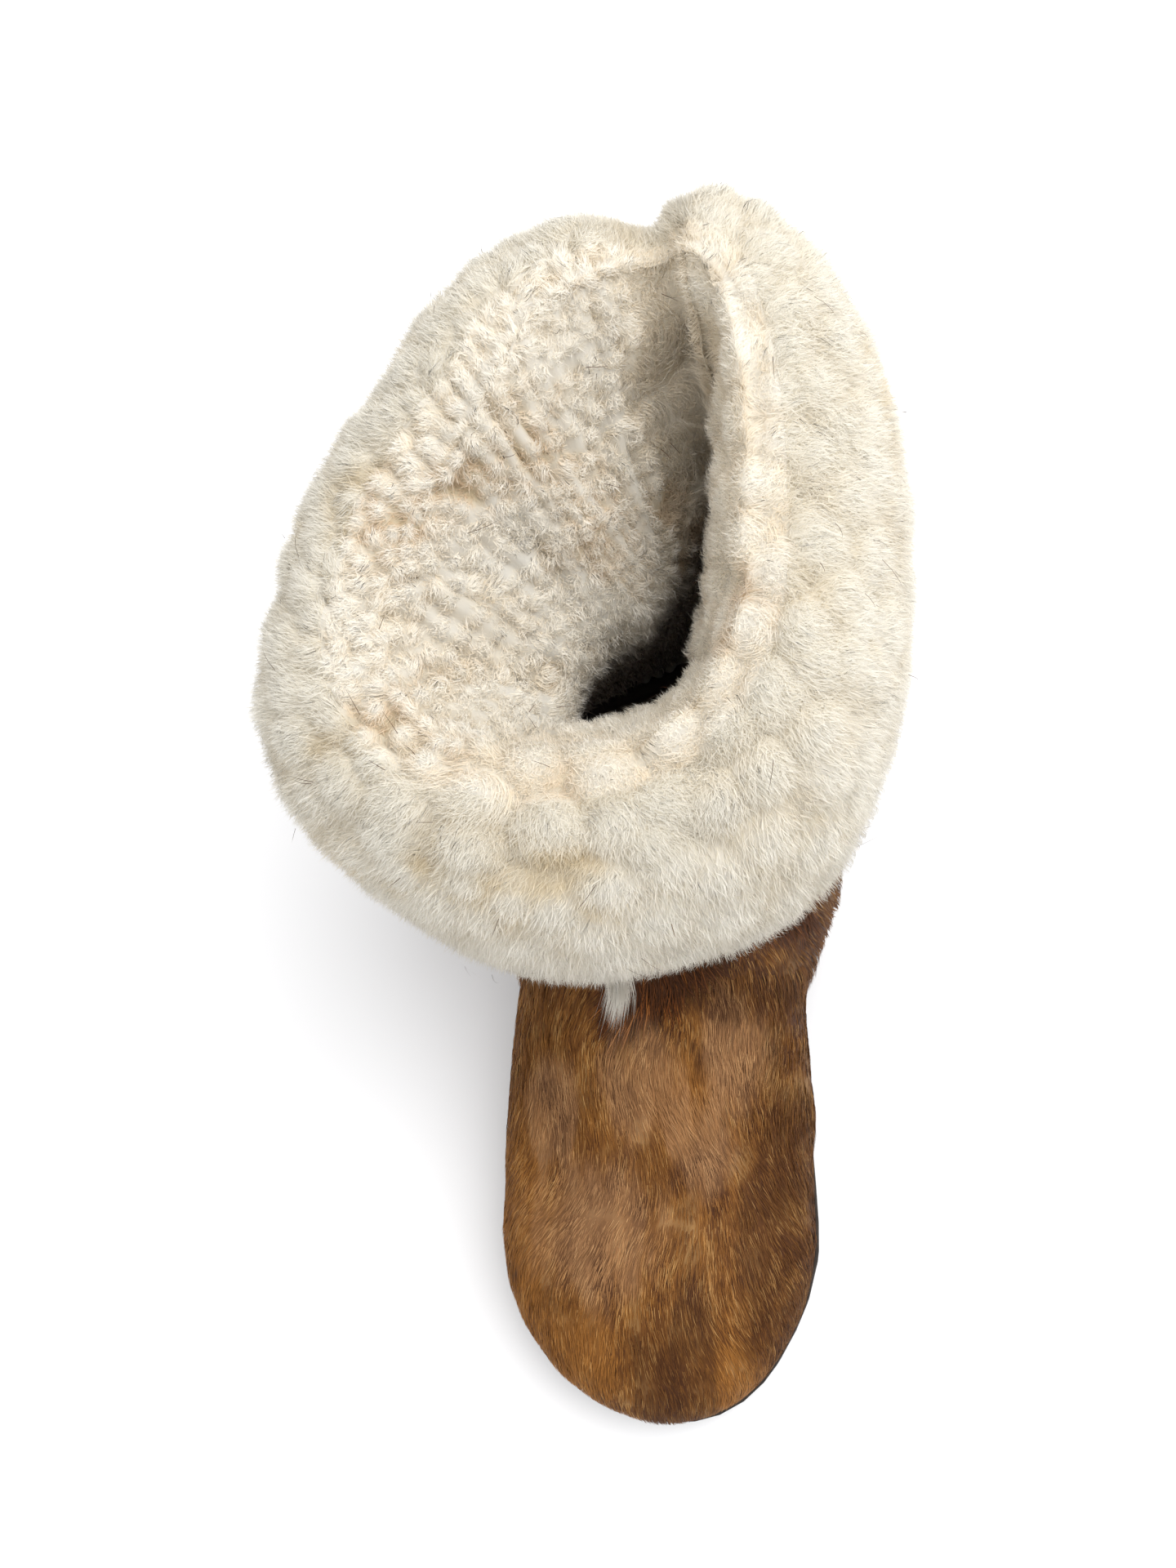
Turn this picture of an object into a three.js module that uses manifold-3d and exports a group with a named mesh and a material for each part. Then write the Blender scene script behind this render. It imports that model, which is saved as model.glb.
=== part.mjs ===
// A mukluk boot for the right foot: a hair-on hide upper on a low rubber sole, with a felt insole and a deep
// shearling cuff that lines the mouth, rolls over the top edge and hangs down outside, split at the back.
// Millimetres, +Z up, toe towards -Y, the medial side (towards the other foot) at +X.
import * as THREE from "three";
import { mergeVertices } from "three/addons/utils/BufferGeometryUtils.js";
import Module from "manifold-3d";

const wasm = await Module();
wasm.setup();

// Driving dimensions
const SOLE_LENGTH = 262;
const BALL_WIDTH = 111;
const INSTEP_HEIGHT = 96;
const SHAFT_HEIGHT = 234;
const FOREFOOT_THICKNESS = 9;
const HEEL_HEIGHT = 20;
const TOE_SPRING = 7;
const ARCH_RISE = 5;
const TOE_ROUND = 66; // length of the rounded toe, seen from above
const HEEL_ROUND = 44;
const TOE_NOSE = 12; // height of the foremost point of the toe above its seat
const SOLE_MARGIN = 1; // the sole stands out past the hide at the toe and heel
const HIDE_THICKNESS = 2.5; // wall of the upper
const PANEL_STEP = 1.6; // the leg panel lies over the vamp and stands proud of it
const CLEARANCE = 0.3; // between pieces that touch
const INSOLE_THICKNESS = 6;
const INSOLE_INSET = 1.2; // all round, inside the hide
const PILE_INSIDE = 28; // depth of the fleece inside the mouth, at the top
const PILE_DEEP = 20; // and at the lining's lower edge
const PILE_ROLL = 24; // above the top edge
const PILE_OUTSIDE = 30; // at the cuff's belly
const CUFF_DROP = 68; // from the hide's top edge to the cuff's lower edge
const CUFF_HANG = 3; // the cuff's lower edge hangs clear of the leg
const SPLIT_WIDTH = 36; // of the open split at the back, at the cuff's lower edge
const SEAM_WIDTH = 10; // of the valley that the split leaves over the roll
const SEAM_FULLNESS = 0.4; // share of the pile left in that valley
const SKIN_DEPTH = 0.6; // share of the hide that the fleece's back takes before the wall is cut out of it
const LOCK_HEIGHT = 3.5; // how far a lock of wool stands out
const ROLL_LEAN = 0.75; // share of the mouth's lean that the roll takes at the mouth's middle
const DEEP_LEAN = 0.25; // and that the lining takes at its lower edge
const GROOVE_WIDTH = 4;
const GROOVE_DEPTH = 2.5;
const RIB_DEPTH = 1.2; // of the channel round the sole's side

// Samples of the lofts
const TOE_RINGS = 7;
const FORM_RINGS = 30;
const SIDE_POINTS = 14;
const OUTLINE_POINTS = 26;
const OUTLINE_MERGE = 0.003; // shares of the sole closer than this become one
const CUFF_COLUMNS = 84;
const LOCKS_AROUND = 21;

// The sole's outline. at: share of the sole's length, from the toe. medial, lateral: half widths from the
// centre line, centre: the line's offset towards medial, all in shares of the ball's width. Its ends are
// rounded off.
const OUTLINE = [
  { at: 0.0, medial: 0.485, lateral: 0.485, centre: 0.02 },
  { at: 0.1, medial: 0.485, lateral: 0.485, centre: -0.022 },
  { at: 0.25, medial: 0.495, lateral: 0.495, centre: -0.035 },
  { at: 0.4, medial: 0.46, lateral: 0.49, centre: -0.035 },
  { at: 0.54, medial: 0.4, lateral: 0.455, centre: -0.01 },
  { at: 0.7, medial: 0.375, lateral: 0.4, centre: 0.0 },
  { at: 0.86, medial: 0.375, lateral: 0.375, centre: 0.0 },
  { at: 1.0, medial: 0.36, lateral: 0.36, centre: 0.0 },
];

// The sole from the side. top: 0 at the forefoot's top, 1 at the heel's. spring, arch: shares of the toe
// spring and of the rise under the arch.
const SIDE_VIEW = [
  { at: 0.0, top: 0.0, spring: 1.0, arch: 0 },
  { at: 0.08, top: 0.0, spring: 0.5, arch: 0 },
  { at: 0.16, top: 0.0, spring: 0.14, arch: 0 },
  { at: 0.23, top: 0.0, spring: 0, arch: 0 },
  { at: 0.42, top: 0.06, spring: 0, arch: 0 },
  { at: 0.5, top: 0.25, spring: 0, arch: 0.7 },
  { at: 0.58, top: 0.55, spring: 0, arch: 1 },
  { at: 0.65, top: 0.82, spring: 0, arch: 1 },
  { at: 0.672, top: 0.88, spring: 0, arch: 0 },
  { at: 0.8, top: 1, spring: 0, arch: 0 },
  { at: 1.0, top: 1, spring: 0, arch: 0 },
];

// The sole's side, from the tread up. rise: share of the sole's thickness. inset: from the outline, in ribs.
const SOLE_EDGE = [
  { rise: 0.0, inset: 2.0 },
  { rise: 0.14, inset: 0.5 },
  { rise: 0.44, inset: 0.0 },
  { rise: 0.48, inset: 1.0 },
  { rise: 0.6, inset: 1.0 },
  { rise: 0.64, inset: 0.0 },
  { rise: 0.94, inset: 0.0 },
  { rise: 1.0, inset: 0.5 },
];

// The boot's form, a fan of sections from the toe round the ankle to the collar.
// front, back: where a section starts on the vamp or shin and ends on the seat or heel, in shares of the
// sole's length. frontLevel, backLevel: their heights, 0 at the seat, 1 at the instep, 2 at the collar.
// waist: share of the way from back to front where the section is widest. medial, lateral: half widths
// there, centre: the section's offset towards medial, twist: that of its back end past the centre, all in
// shares of the ball's width. frontFill, backFill: exponents of the two curves. The first row names the
// columns.
const SECTIONS = [
  ["front", "frontLevel", "back", "backLevel", "waist", "medial", "lateral", "centre",
    "twist", "frontFill", "backFill"],
  [0.25, 0.6, 0.25, -0.1, 0.38, 0.495, 0.495, -0.035, 0, 2.3, 4],
  [0.36, 0.68, 0.35, -0.1, 0.38, 0.485, 0.495, -0.04, 0, 2.3, 4],
  [0.46, 0.8, 0.47, -0.1, 0.38, 0.47, 0.49, -0.035, 0, 2.2, 3.8],
  [0.525, 0.93, 0.61, -0.1, 0.38, 0.46, 0.475, -0.02, 0, 2.1, 3.4],
  [0.555, 1.06, 0.76, -0.12, 0.4, 0.475, 0.46, -0.005, 0, 2.1, 3.2],
  [0.565, 1.16, 0.88, -0.15, 0.42, 0.48, 0.45, 0, 0, 2.1, 3],
  [0.57, 1.24, 0.97, -0.14, 0.44, 0.485, 0.445, 0, 0, 2.1, 2.7],
  [0.572, 1.3, 1, 0.12, 0.46, 0.485, 0.445, 0, 0, 2.1, 2.5],
  [0.574, 1.36, 1.008, 0.42, 0.48, 0.485, 0.45, 0, 0, 2.1, 2.3],
  [0.574, 1.43, 1, 0.72, 0.49, 0.49, 0.46, -0.005, 0.02, 2.1, 2.2],
  [0.572, 1.51, 0.995, 1, 0.5, 0.495, 0.47, -0.01, 0.05, 2.1, 2.2],
  [0.57, 1.61, 1.01, 1.32, 0.53, 0.51, 0.485, -0.025, 0.11, 2.1, 2.3],
  [0.574, 1.73, 1.05, 1.68, 0.57, 0.525, 0.51, -0.045, 0.18, 2.1, 2.4],
  [0.58, 1.87, 1.11, 2.11, 0.61, 0.535, 0.53, -0.06, 0.25, 2.1, 2.4],
];
const COLLAR = SECTIONS.length - 2;

// Places between rows of SECTIONS. panel: the leg panel's lower edge. panelEdge: rows over which its step
// rises. lining: how far down the mouth the cuff's fleece reaches.
const PLACES = { panel: 3.2, panelEdge: 0.15, lining: 9.8 };

// Soft folds of the hide. row: place between rows of SECTIONS. turn: place round a section, 0 at the front,
// 0.25 medial, 0.75 lateral. rows, turns: half widths of the fold. height: how far it stands out, in shares
// of the ball's width.
const FOLDS = [
  { row: 4.6, turn: 0.22, rows: 1.0, turns: 0.12, height: 0.045 },
  { row: 2.9, turn: 0.24, rows: 0.5, turns: 0.1, height: -0.0225 },
  { row: 1.6, turn: 0.25, rows: 0.35, turns: 0.08, height: 0.0135 },
  { row: 4.2, turn: 0.8, rows: 0.7, turns: 0.1, height: 0.0225 },
  { row: 7.5, turn: 0.5, rows: 1.2, turns: 0.2, height: 0.0135 },
  { row: 8.8, turn: 0.45, rows: 0.6, turns: 0.25, height: -0.018 },
  { row: 13.2, turn: 0.64, rows: 2.2, turns: 0.11, height: -0.234 },
];

// The fleece outside, from the roll down to the cuff's lower edge. out: share of the pile outside, less than
// 0 over the mouth. level: 1 at the top of the roll, 0 at the hide's top edge, -1 at the cuff's lower edge.
const CUFF_FLEECE = [
  { out: -0.48, level: 0.74 },
  { out: -0.2, level: 0.96 },
  { out: 0.1, level: 1.0 },
  { out: 0.38, level: 0.86 },
  { out: 0.62, level: 0.56 },
  { out: 0.8, level: 0.2 },
  { out: 0.92, level: -0.08 },
  { out: 0.98, level: -0.26 },
  { out: 1.0, level: -0.46 },
  { out: 0.96, level: -0.66 },
  { out: 0.84, level: -0.85 },
  { out: 0.62, level: -0.98 },
  { out: 0.34, level: -1.03 },
];

// The slack mouth, where the fleece leans over it. turn: place round the collar, turns: half width of the
// lean. aside, behind: how far it reaches towards medial and towards the heel, in shares of the pile inside.
const SLUMPS = [
  { turn: 0.57, turns: 0.13, aside: 0.9, behind: 0 },
  { turn: 0.8, turns: 0.15, aside: 0.85, behind: 0 },
  { turn: 0.02, turns: 0.16, aside: 0, behind: 0.32 },
];

// Grooves of the tread, in shares of the sole's length
const TREAD = [
  { from: 0.07, to: 0.38, count: 8 },
  { from: 0.72, to: 0.94, count: 5 },
];

const { lerp, clamp } = THREE.MathUtils;
const toeEnd = -SOLE_LENGTH / 2;
const alongSole = (share) => toeEnd + share * SOLE_LENGTH;

// A smooth curve through one column of a table, at a place between its rows
function smoothColumn(rows, column, place) {
  const i = clamp(Math.floor(place), 0, rows.length - 2);
  const t = place - i;
  const value = (k) => rows[clamp(k, 0, rows.length - 1)][column];
  const slope = (k) => (value(k + 1) - value(k - 1)) / (k > 0 && k < rows.length - 1 ? 2 : 1);
  const rise = t * t * (3 - 2 * t);
  return (
    value(i) * (1 - rise) +
    value(i + 1) * rise +
    slope(i) * t * (1 - t) ** 2 +
    slope(i + 1) * t * t * (t - 1)
  );
}

// Where a share along the sole lies between the rows of a table with a column `at`
function rowAt(rows, share) {
  const next = rows.findIndex((row) => row.at > share);
  if (next < 1) return share < rows[0].at ? 0 : rows.length - 1;
  return next - 1 + (share - rows[next - 1].at) / (rows[next].at - rows[next - 1].at);
}

// Straight lines between the rows, which keep the heel's front crisp
function straightColumn(rows, column, place) {
  const i = clamp(Math.floor(place), 0, rows.length - 2);
  return lerp(rows[i][column], rows[i + 1][column], place - i);
}

function soleBottom(share) {
  const place = rowAt(SIDE_VIEW, share);
  const spring = straightColumn(SIDE_VIEW, "spring", place);
  return TOE_SPRING * spring + ARCH_RISE * straightColumn(SIDE_VIEW, "arch", place);
}

function seatHeight(share) {
  const place = rowAt(SIDE_VIEW, share);
  const heel = (HEEL_HEIGHT - FOREFOOT_THICKNESS) * straightColumn(SIDE_VIEW, "top", place);
  return FOREFOOT_THICKNESS + heel + TOE_SPRING * straightColumn(SIDE_VIEW, "spring", place);
}

function levelHeight(level, share) {
  if (level < 1) return lerp(seatHeight(share), INSTEP_HEIGHT, level);
  return lerp(INSTEP_HEIGHT, SHAFT_HEIGHT, level - 1);
}

// Closed meshes and solids

function meshOf(points, faces) {
  const geometry = new THREE.BufferGeometry();
  geometry.setFromPoints(points);
  geometry.setIndex(faces.flat());
  return geometry;
}

// A mesh through rings of equally many points. Either its ends meet, or both are closed by strips across a
// ring, whose first and middle points lie on its centre line.
function loft(rings, endsMeet = false) {
  const count = rings[0].length;
  const faces = [];
  const bands = endsMeet ? rings.length : rings.length - 1;
  for (let r = 0; r < bands; r += 1) {
    const here = r * count;
    const there = ((r + 1) % rings.length) * count;
    for (let i = 0; i < count; i += 1) {
      const j = (i + 1) % count;
      faces.push([here + i, here + j, there + j], [here + i, there + j, there + i]);
    }
  }
  if (!endsMeet) {
    const top = (rings.length - 1) * count;
    for (let i = 0; i < count / 2; i += 1) {
      const [a, b, c, d] = [i, i + 1, (count - i - 1) % count, (count - i) % count];
      faces.push([a, c, b], [a, d, c]);
      faces.push([top + a, top + b, top + c], [top + a, top + c, top + d]);
    }
  }
  return meshOf(rings.flat(), faces);
}

function solidOf(geometry) {
  const bare = new THREE.BufferGeometry();
  bare.setAttribute("position", geometry.getAttribute("position"));
  bare.setIndex(geometry.getIndex());
  const merged = mergeVertices(bare, 1e-3);
  const index = Array.from(merged.index.array);
  const triVerts = [];
  for (let i = 0; i < index.length; i += 3) {
    const [a, b, c] = index.slice(i, i + 3);
    if (a !== b && b !== c && c !== a) triVerts.push(a, b, c);
  }
  const build = (corners) => {
    const vertProperties = merged.attributes.position.array;
    const mesh = new wasm.Mesh({ numProp: 3, vertProperties, triVerts: new Uint32Array(corners) });
    return new wasm.Manifold(mesh);
  };
  const solid = build(triVerts);
  return solid.volume() < 0 ? build(triVerts.toReversed()) : solid;
}

function geometryOf(solid) {
  const mesh = solid.getMesh();
  const geometry = new THREE.BufferGeometry();
  geometry.setAttribute("position", new THREE.BufferAttribute(new Float32Array(mesh.vertProperties), 3));
  geometry.setIndex(new THREE.BufferAttribute(mesh.triVerts, 1));
  geometry.computeVertexNormals();
  return geometry;
}

// The space between two heights over the whole sole, straight across the boot
function slab(lowOf, highOf) {
  const past = 0.15; // beyond both ends, in shares of the sole
  const shares = [-past, ...SIDE_VIEW.map((row) => row.at), 1 + past];
  const ring = (share) => {
    const at = clamp(share, 0, 1);
    const corner = (x, z) => new THREE.Vector3(x, alongSole(share), z);
    const [low, high] = [lowOf(at), highOf(at)];
    const x = BALL_WIDTH;
    const medial = [corner(0, low), corner(x, low), corner(x, high)];
    return [...medial, corner(0, high), corner(-x, high), corner(-x, low)];
  };
  return solidOf(loft(shares.map(ring)));
}

// The boot's form

const [columns, ...rows] = SECTIONS;
const sections = rows.map((numbers) => {
  const row = Object.fromEntries(columns.map((column, i) => [column, numbers[i]]));
  return {
    ...row,
    frontY: alongSole(row.front),
    frontZ: levelHeight(row.frontLevel, row.front),
    backY: alongSole(row.back),
    backZ: levelHeight(row.backLevel, row.back),
  };
});

// A point of the bare form. place: between the rows of the table, and down to -1 at the tip of the toe,
// which is a quarter turn of the first section. turn: 0 at the front, 0.25 medial, 0.5 at the back, 0.75
// lateral.
function formPoint(place, turn) {
  const value = (column) => smoothColumn(sections, column, Math.max(place, 0));
  const around = turn * 2 * Math.PI;
  const [ahead, aside] = [Math.cos(around), Math.sin(around)];
  const fill = value(ahead > 0 ? "frontFill" : "backFill");
  const reach = Math.abs(ahead) ** (2 / fill);
  const waist = value("waist");
  const along = ahead > 0 ? lerp(waist, 1, reach) : waist * (1 - reach);
  const half = value(aside > 0 ? "medial" : "lateral");
  const end = ahead > 0 ? 0 : value("twist");
  const spread = lerp(end, Math.sign(aside) * half, Math.abs(aside) ** (2 / fill));
  const x = BALL_WIDTH * (value("centre") + spread);
  const y = lerp(value("backY"), value("frontY"), along);
  const z = lerp(value("backZ"), value("frontZ"), along);
  return place < 0 ? toePoint(place, x, y, z) : new THREE.Vector3(x, y, z);
}

// The toe: the first section, swung to the tip and drawn in
function toePoint(place, x, y, z) {
  const swing = Math.max(place + 1, 0) * (Math.PI / 2);
  const tipX = BALL_WIDTH * OUTLINE[0].centre;
  const tipY = toeEnd + SOLE_MARGIN;
  const tipZ = seatHeight(0) + TOE_NOSE;
  const first = sections[0];
  const nose = lerp(first.backZ, first.frontZ, first.waist);
  const drawn = Math.sin(swing);
  const lowered = (1 - Math.cos(swing) ** first.backFill) ** (1 / first.backFill);
  const centre = lerp(tipX, BALL_WIDTH * first.centre, drawn);
  return new THREE.Vector3(
    centre + (x - BALL_WIDTH * first.centre) * drawn,
    lerp(y, tipY, Math.cos(swing)),
    lerp(tipZ, nose, drawn) + (z - nose) * (z > nose ? drawn : lowered),
  );
}

function foldHeight(place, turn) {
  let height = 0;
  for (const fold of FOLDS) {
    const rows = (place - fold.row) / fold.rows;
    const turns = (turn - fold.turn) / fold.turns;
    height += fold.height * Math.exp(-rows * rows - turns * turns);
  }
  return height * BALL_WIDTH;
}

// A point that lies `out` outside the form, measured square to it, or inside it where `out` is less than 0
function skinPoint(place, turn, out) {
  const step = 0.01;
  const besideTip = -0.96;
  const at = Math.max(place, besideTip);
  const point = formPoint(place, turn);
  const lengthwise = formPoint(at + step, turn).sub(formPoint(at - step, turn));
  const around = formPoint(at, turn + step).sub(formPoint(at, turn - step));
  const normal = around.cross(lengthwise).normalize();
  if (place <= -1) normal.set(0, -1, 0);
  return point.addScaledVector(normal, out + foldHeight(place, turn));
}

// Rings of the form from the tip of the toe to `last`, `outAt` outside it
function formSolid(last, outAt) {
  const places = [];
  for (let i = 0; i < TOE_RINGS; i += 1) places.push(i / TOE_RINGS - 1);
  for (let i = 0; i < FORM_RINGS; i += 1) places.push((i / FORM_RINGS) * COLLAR);
  places.push(PLACES.panel - PLACES.panelEdge, PLACES.panel, last);
  places.sort((a, b) => a - b);
  const ring = (place) => {
    const points = [];
    for (let i = 0; i < SIDE_POINTS * 2; i += 1) {
      points.push(skinPoint(place, i / (SIDE_POINTS * 2), outAt(place)));
    }
    return points;
  };
  return solidOf(loft(places.map(ring)));
}

// The hide from the toe to the collar, `grown` thicker on each face and at its top edge
function hideWall(grown) {
  const panelStep = (place) => PANEL_STEP * clamp((place - PLACES.panel) / PLACES.panelEdge + 1, 0, 1);
  const rowHeight = sections[COLLAR].frontZ - sections[COLLAR - 1].frontZ;
  const pastCollar = COLLAR + 0.2;
  const outside = formSolid(COLLAR + grown / rowHeight, (place) => panelStep(place) + grown);
  return outside.subtract(formSolid(pastCollar, () => -HIDE_THICKNESS - grown));
}

function upper() {
  const belowSole = -HEEL_HEIGHT;
  const under = slab(() => belowSole, (share) => seatHeight(share) + CLEARANCE);
  return hideWall(0).subtract(under);
}

function insole() {
  const inside = formSolid(PLACES.lining, () => -HIDE_THICKNESS - INSOLE_INSET);
  const low = (share) => seatHeight(share) + CLEARANCE;
  return inside.intersect(slab(low, (share) => low(share) + INSOLE_THICKNESS));
}

// The sole

// A point of its outline, on the medial side (side 1) or the lateral one (side -1), `inset` inside it
function outlinePoint(share, side, inset, rise) {
  const place = rowAt(OUTLINE, share);
  const quarter = (distance, radius) => Math.sqrt(1 - clamp(1 - distance / radius, 0, 1) ** 2);
  const ends = quarter(share * SOLE_LENGTH, TOE_ROUND) * quarter((1 - share) * SOLE_LENGTH, HEEL_ROUND);
  const wide = BALL_WIDTH * smoothColumn(OUTLINE, side > 0 ? "medial" : "lateral", place) + SOLE_MARGIN;
  const half = Math.max(wide * ends - inset, 0);
  const centre = BALL_WIDTH * smoothColumn(OUTLINE, "centre", place);
  const y = toeEnd + inset + share * (SOLE_LENGTH - 2 * inset);
  return new THREE.Vector3(centre + side * half, y, lerp(soleBottom(share), seatHeight(share), rise));
}

// Shares along the sole, closer together towards both round ends, and at every bend of its side view
function outlineShares() {
  const bends = SIDE_VIEW.map((row) => row.at);
  const shares = [];
  for (let i = 0; i <= OUTLINE_POINTS; i += 1) {
    const share = (1 - Math.cos((i / OUTLINE_POINTS) * Math.PI)) / 2;
    if (!bends.some((bend) => Math.abs(bend - share) < OUTLINE_MERGE)) shares.push(share);
  }
  return [...bends, ...shares].sort((a, b) => a - b);
}

function outsole() {
  const shares = outlineShares();
  const rings = SOLE_EDGE.map(({ rise, inset }) => {
    const medial = shares.map((share) => outlinePoint(share, 1, inset * RIB_DEPTH, rise));
    const lateral = shares.slice(1, -1).map((share) => outlinePoint(share, -1, inset * RIB_DEPTH, rise));
    return [...medial, ...lateral.toReversed()];
  });
  let sole = solidOf(loft(rings));
  for (const { from, to, count } of TREAD) {
    for (let i = 0; i < count; i += 1) {
      const share = lerp(from, to, i / (count - 1));
      const groove = new THREE.BoxGeometry(BALL_WIDTH * 2, GROOVE_WIDTH, GROOVE_DEPTH * 2);
      groove.translate(0, alongSole(share), soleBottom(share));
      sole = sole.subtract(solidOf(groove));
    }
  }
  return sole;
}

// The cuff

// How full the fleece is, 1 all round and less at the back, where the split runs
function fullness(fromBack, level) {
  const width = lerp(SEAM_WIDTH, SPLIT_WIDTH, clamp(-level, 0, 1)) / 2;
  return 1 - (1 - SEAM_FULLNESS) * Math.exp(-((fromBack / width) ** 2));
}

// The middle of a section, halfway between its sides
function middleOf(place) {
  return formPoint(place, 0.25).lerp(formPoint(place, 0.75), 0.5);
}

// A point over the collar's edge, `up` above it and `out` from it: square to the edge outside, and towards
// the middle of the mouth where `out` is less than 0, so that the pile stays whole in its tight corners
function collarPoint(turn, out, up) {
  const step = 0.01;
  const edge = skinPoint(COLLAR, turn, PANEL_STEP);
  const around = skinPoint(COLLAR, turn + step, 0).sub(skinPoint(COLLAR, turn - step, 0));
  const square = new THREE.Vector3(around.y, -around.x, 0);
  const outward = out < 0 ? edge.clone().sub(middleOf(COLLAR)).setZ(0) : square;
  return edge.addScaledVector(outward.normalize(), out).add(new THREE.Vector3(0, 0, up));
}

// How far the slack fleece leans over the mouth at one turn. share: 1 just below the roll, less above and
// further down.
function slump(turn, share) {
  const lean = new THREE.Vector3();
  for (const { turn: at, turns, aside, behind } of SLUMPS) {
    const apart = turn - at - Math.round(turn - at);
    const here = PILE_INSIDE * share * Math.exp(-((apart / turns) ** 2));
    lean.add(new THREE.Vector3(aside * here, behind * here, 0));
  }
  return lean;
}

// The cuff's outline at one turn, round from the lining's lower edge up the middle of the hide, over its top
// edge and down outside, then back up the fleece and down into the mouth
function cuffRing(turn, column) {
  const skinSide = -SKIN_DEPTH * HIDE_THICKNESS;
  const fromBack = Math.abs(turn - 0.5) * Math.PI * BALL_WIDTH;
  const legRows = [0, 0.25, 0.5, 0.75, 1].map((share) => lerp(PLACES.lining, COLLAR, share));
  const skin = legRows.map((place) => skinPoint(place, turn, skinSide));
  skin.push(collarPoint(turn, 0, -HIDE_THICKNESS));
  skin.push(collarPoint(turn, CLEARANCE, -CUFF_DROP / 2));
  skin.push(collarPoint(turn, CUFF_HANG, -CUFF_DROP));

  const lock = (row) => {
    const across = Math.cos(2 * Math.PI * (LOCKS_AROUND * (column / CUFF_COLUMNS) + row / 4));
    return row % 2 === 0 ? LOCK_HEIGHT * (0.5 + across / 2) : 0;
  };
  const fleece = CUFF_FLEECE.map(({ out, level }, row) => {
    const full = fullness(fromBack, level);
    const proud = lock(row) * full;
    const up = level > 0 ? level * lerp(HIDE_THICKNESS, PILE_ROLL + proud, full) : level * CUFF_DROP;
    const point = collarPoint(turn, out * lerp(CUFF_HANG, PILE_OUTSIDE + proud, full) + CLEARANCE, up);
    return point.add(slump(turn, ROLL_LEAN * Math.max(-out, 0)));
  });
  const deep = legRows.map((place, row) => {
    const pile = lerp(PILE_DEEP, PILE_INSIDE, row / (legRows.length - 1));
    const depth = fullness(fromBack, 0) * (pile + lock(row + 1) / 2);
    const [wall, middle] = [skinPoint(place, turn, skinSide), middleOf(place)];
    const share = lerp(DEEP_LEAN, 1, row / (legRows.length - 2));
    return wall.lerp(middle, depth / wall.distanceTo(middle)).add(slump(turn, share));
  });
  return [...skin, ...fleece.toReversed(), ...deep.slice(0, -1).toReversed()];
}

function cuff() {
  const rings = [];
  for (let column = 0; column < CUFF_COLUMNS; column += 1) {
    rings.push(cuffRing(column / CUFF_COLUMNS, column));
  }
  return solidOf(loft(rings, true)).subtract(hideWall(CLEARANCE)).subtract(splitWedge());
}

// The open split at the back, narrow at the hide's top edge and SPLIT_WIDTH wide at the cuff's lower edge
function splitWedge() {
  const edge = skinPoint(COLLAR, 0.5, PANEL_STEP);
  const past = 1.2; // beyond the cuff's lower edge
  const half = (SPLIT_WIDTH / 2) * past;
  const low = -CUFF_DROP * past;
  const shape = new THREE.Shape();
  shape.moveTo(0, 0);
  shape.lineTo(-half, low);
  shape.lineTo(half, low);
  shape.closePath();
  const wedge = new THREE.ExtrudeGeometry(shape, { depth: PILE_OUTSIDE * 2, bevelEnabled: false });
  wedge.rotateX(Math.PI / 2);
  wedge.translate(edge.x, edge.y + PILE_OUTSIDE * 2 - HIDE_THICKNESS, edge.z);
  return solidOf(wedge);
}

// The boot

const rubber = new THREE.MeshStandardMaterial({ color: 0x2a2521, roughness: 0.85, metalness: 0 });
const felt = new THREE.MeshStandardMaterial({ color: 0x5d4a38, roughness: 1, metalness: 0 });
const hide = new THREE.MeshStandardMaterial({ color: 0x8a5628, roughness: 0.7, metalness: 0 });
const fleece = new THREE.MeshStandardMaterial({ color: 0xece2cd, roughness: 1, metalness: 0 });

function piece(name, solid, material) {
  const mesh = new THREE.Mesh(geometryOf(solid), material);
  mesh.name = name;
  return mesh;
}

const boot = new THREE.Group();
boot.add(piece("outsole", outsole(), rubber));
boot.add(piece("insole", insole(), felt));
boot.add(piece("upper", upper(), hide));
boot.add(piece("cuff", cuff(), fleece));

// The origin lies at the middle of the boot's box, on the ground
const box = new THREE.Box3().setFromObject(boot);
const middle = box.getCenter(new THREE.Vector3());
boot.position.set(-middle.x, -middle.y, -box.min.z);

export default boot;
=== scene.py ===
# %% [markdown]
# A mukluk boot is a sewn shoe: a hide with its hair left on, shaped over a last, sits on a low rubber sole.
# At the top a strip of shearling lines the mouth, rolls over the edge and hangs down as a thick cuff. This
# notebook dresses the plain solids of that boot, which give the size and place of every piece. Blender adds
# the finish: hair, wool, felt and rubber. Lengths are in millimetres and become metres in each mesh.

# %% The frame
import math

import bpy
import numpy as np
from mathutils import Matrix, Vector, kdtree


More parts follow.
